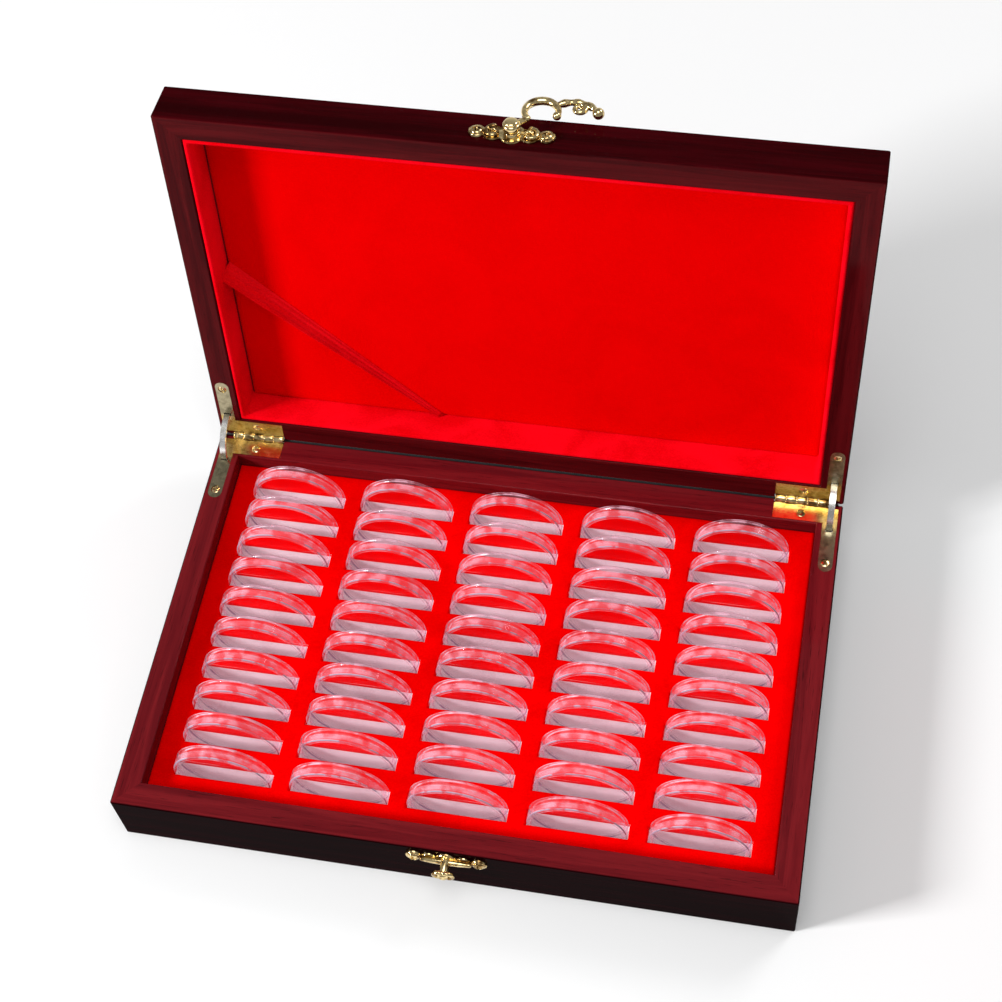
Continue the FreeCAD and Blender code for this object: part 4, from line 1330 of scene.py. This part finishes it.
    def catch(self) -> None:
        """The catch: a plate, a bar with ball ends, and two horns curling from a post."""
        z = self.sizes.rim - self.catch_down
        skins = [self.lobed_plate(5 * MM, 3.6 * MM, z)]
        bar = np.array([self.place(x * MM, 1.9 * MM, z) for x in (-11, -6, 0, 6, 11)])
        skins.append(rod(bar, np.array([1.0, 1.35, 1.5, 1.35, 1.0]) * MM, 14))
        skins.append(self.facing(lathe(dome_profile(2.15 * MM, 0.6 * MM, 7.2 * MM), 28), 0, 0, z))
        skins.append(self.ball(2.7 * MM, 0, 8.4 * MM, z, 0.7))
        for side in (-1, 1):
            centre = self.place(side * 1.9 * MM, 8.2 * MM, z - 0.6 * MM)
            start = 130 if side == 1 else 50
            share = np.linspace(0, 1, 34)
            path = arc(centre, (3.0 - 1.2 * share) * MM, start, -side * 330, 34)
            skins.append(rod(path, (1.1 - 0.45 * share) * MM, 12))
            skins.append(self.boss_ring(side, z))
        self.cast("clasp_horned_catch", skins, "base", "clasp_catch")
        self.nail_heads(z, "catch_plate_screws", "base", "clasp_catch_screws")

    def build(self) -> None:
        """Make all of the clasp."""
        self.lid_plate()
        self.hook()
        self.catch()


# ------------------------------ studio
@dataclass
class Studio:
    """A plain pale floor, soft lamps and the camera."""

    place: tuple[float, float, float] = (0.1428, -0.4140, 0.8682)
    forward: tuple[float, float, float] = (-0.15402, 0.50553, -0.84895)
    upward: tuple[float, float, float] = (-0.11715, 0.84380, 0.52372)
    lens: float = 71.41
    floor_size: float = 6.0
    clear_layers: int = 48
    room: float = 0.28
    aim: tuple[float, float, float] = (0, 0, 0.05)

    def floor(self) -> None:
        """A wide floor that rises behind the case in one smooth sweep."""
        y = np.linspace(-self.floor_size, self.floor_size, 80)
        rise = np.where(y > 1.5, 0.35 * (y - 1.5) ** 2, 0.0)
        x = np.array([-self.floor_size, self.floor_size])
        gx, gy = np.meshgrid(x, y, indexing="ij")
        points = np.stack([gx, gy, np.broadcast_to(rise, gx.shape) - 0.02 * MM], axis=-1).reshape(-1, 3)
        mesh = bpy.data.meshes.new("floor")
        mesh.from_pydata(points.tolist(), [], quads(2, 80)[:, ::-1].tolist())
        mesh.shade_smooth()
        bench = Bench("pale floor")
        cloud = bench.noise(bench.place(), 0.8, 2)
        colour = bench.mix(cloud, (0.86, 0.86, 0.865, 1), (0.90, 0.90, 0.90, 1))
        mesh.materials.append(bench.surface({"Base Color": colour, "Roughness": 0.9,
                                             "Specular IOR Level": 0.0}))
        floor = bpy.data.objects.new("floor", mesh)
        bpy.context.scene.collection.objects.link(floor)

    def lamp(self, name: str, place: Sequence[float], size: float, power: float) -> None:
        """A square soft lamp that faces the case."""
        light = bpy.data.lights.new(name, "AREA")
        light.shape, light.size, light.energy = "SQUARE", size, power
        lamp = bpy.data.objects.new(name, light)
        lamp.location = place
        lamp.rotation_euler = (Vector(self.aim) - Vector(place)).to_track_quat("-Z", "Y").to_euler()
        bpy.context.scene.collection.objects.link(lamp)

    def camera(self) -> None:
        """The camera, by its place and its three directions."""
        data = bpy.data.cameras.new("camera")
        data.lens, data.sensor_width, data.clip_start = self.lens, 36.0, 0.01
        camera = bpy.data.objects.new("camera", data)
        forward, upward = Vector(self.forward).normalized(), Vector(self.upward).normalized()
        right = forward.cross(upward).normalized()
        upward = right.cross(forward)
        camera.matrix_world = Matrix.LocRotScale(
            Vector(self.place), Matrix((right, upward, -forward)).transposed(), None)
        bpy.context.scene.collection.objects.link(camera)
        bpy.context.scene.camera = camera

    def build(self) -> None:
        """Set up everything around the case."""
        self.camera()
        self.floor()
        self.lamp("key", (-2.0, -0.95, 1.2), 0.5, 68)
        self.lamp("top", (0.1, -0.3, 2.0), 1.0, 12)
        self.lamp("back", (0.95, 1.0, 1.15), 0.55, 7)
        world = bpy.data.worlds.new("room")
        world.use_nodes = True
        background = world.node_tree.nodes["Background"]
        background.inputs["Color"].default_value = (1, 1, 1, 1)
        background.inputs["Strength"].default_value = self.room
        bpy.context.scene.world = world
        bpy.context.scene.view_settings.view_transform = "Standard"
        bpy.context.scene.cycles.transparent_max_bounces = self.clear_layers


def main() -> None:
    """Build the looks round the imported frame, piece by piece."""
    logging.basicConfig(level=logging.INFO, format="%(name)s %(message)s")
    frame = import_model()
    nodes = frame["nodes"]
    lid = LidFrame.read(frame["joints"])
    sizes = CaseSizes.read(nodes, lid)
    LOG.info("%s", sizes)
    Studio().build()
    finishes = Finishes.make()
    Carcass(nodes, sizes, lid, finishes).build()
    numbers = range(1, ROWS + 1)
    boxes = [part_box(f"capsules_row_{number:02d}") for number in numbers]
    low, high = boxes[0]
    radius, thick = (high.z - low.z) / 2, high.y - low.y
    pitch = ((high.x - low.x) - 2 * radius) / (COLUMNS - 1)
    rows = sorted((one.y + two.y) / 2 for one, two in boxes)
    VelvetInsert(sizes, finishes).build(rows, pitch * (np.arange(COLUMNS) - COLUMNS // 2), radius, thick)
    for number in numbers:
        CapsuleRow(number, finishes).build()
    lining = LidLining(sizes, lid, finishes)
    lining.panel()
    lining.strips()
    Ribbon(sizes, lid, finishes).build()
    Hinges(nodes, sizes, lid, finishes).build()
    Clasp(sizes, lid, finishes).build()


if __name__ == "__main__":
    main()
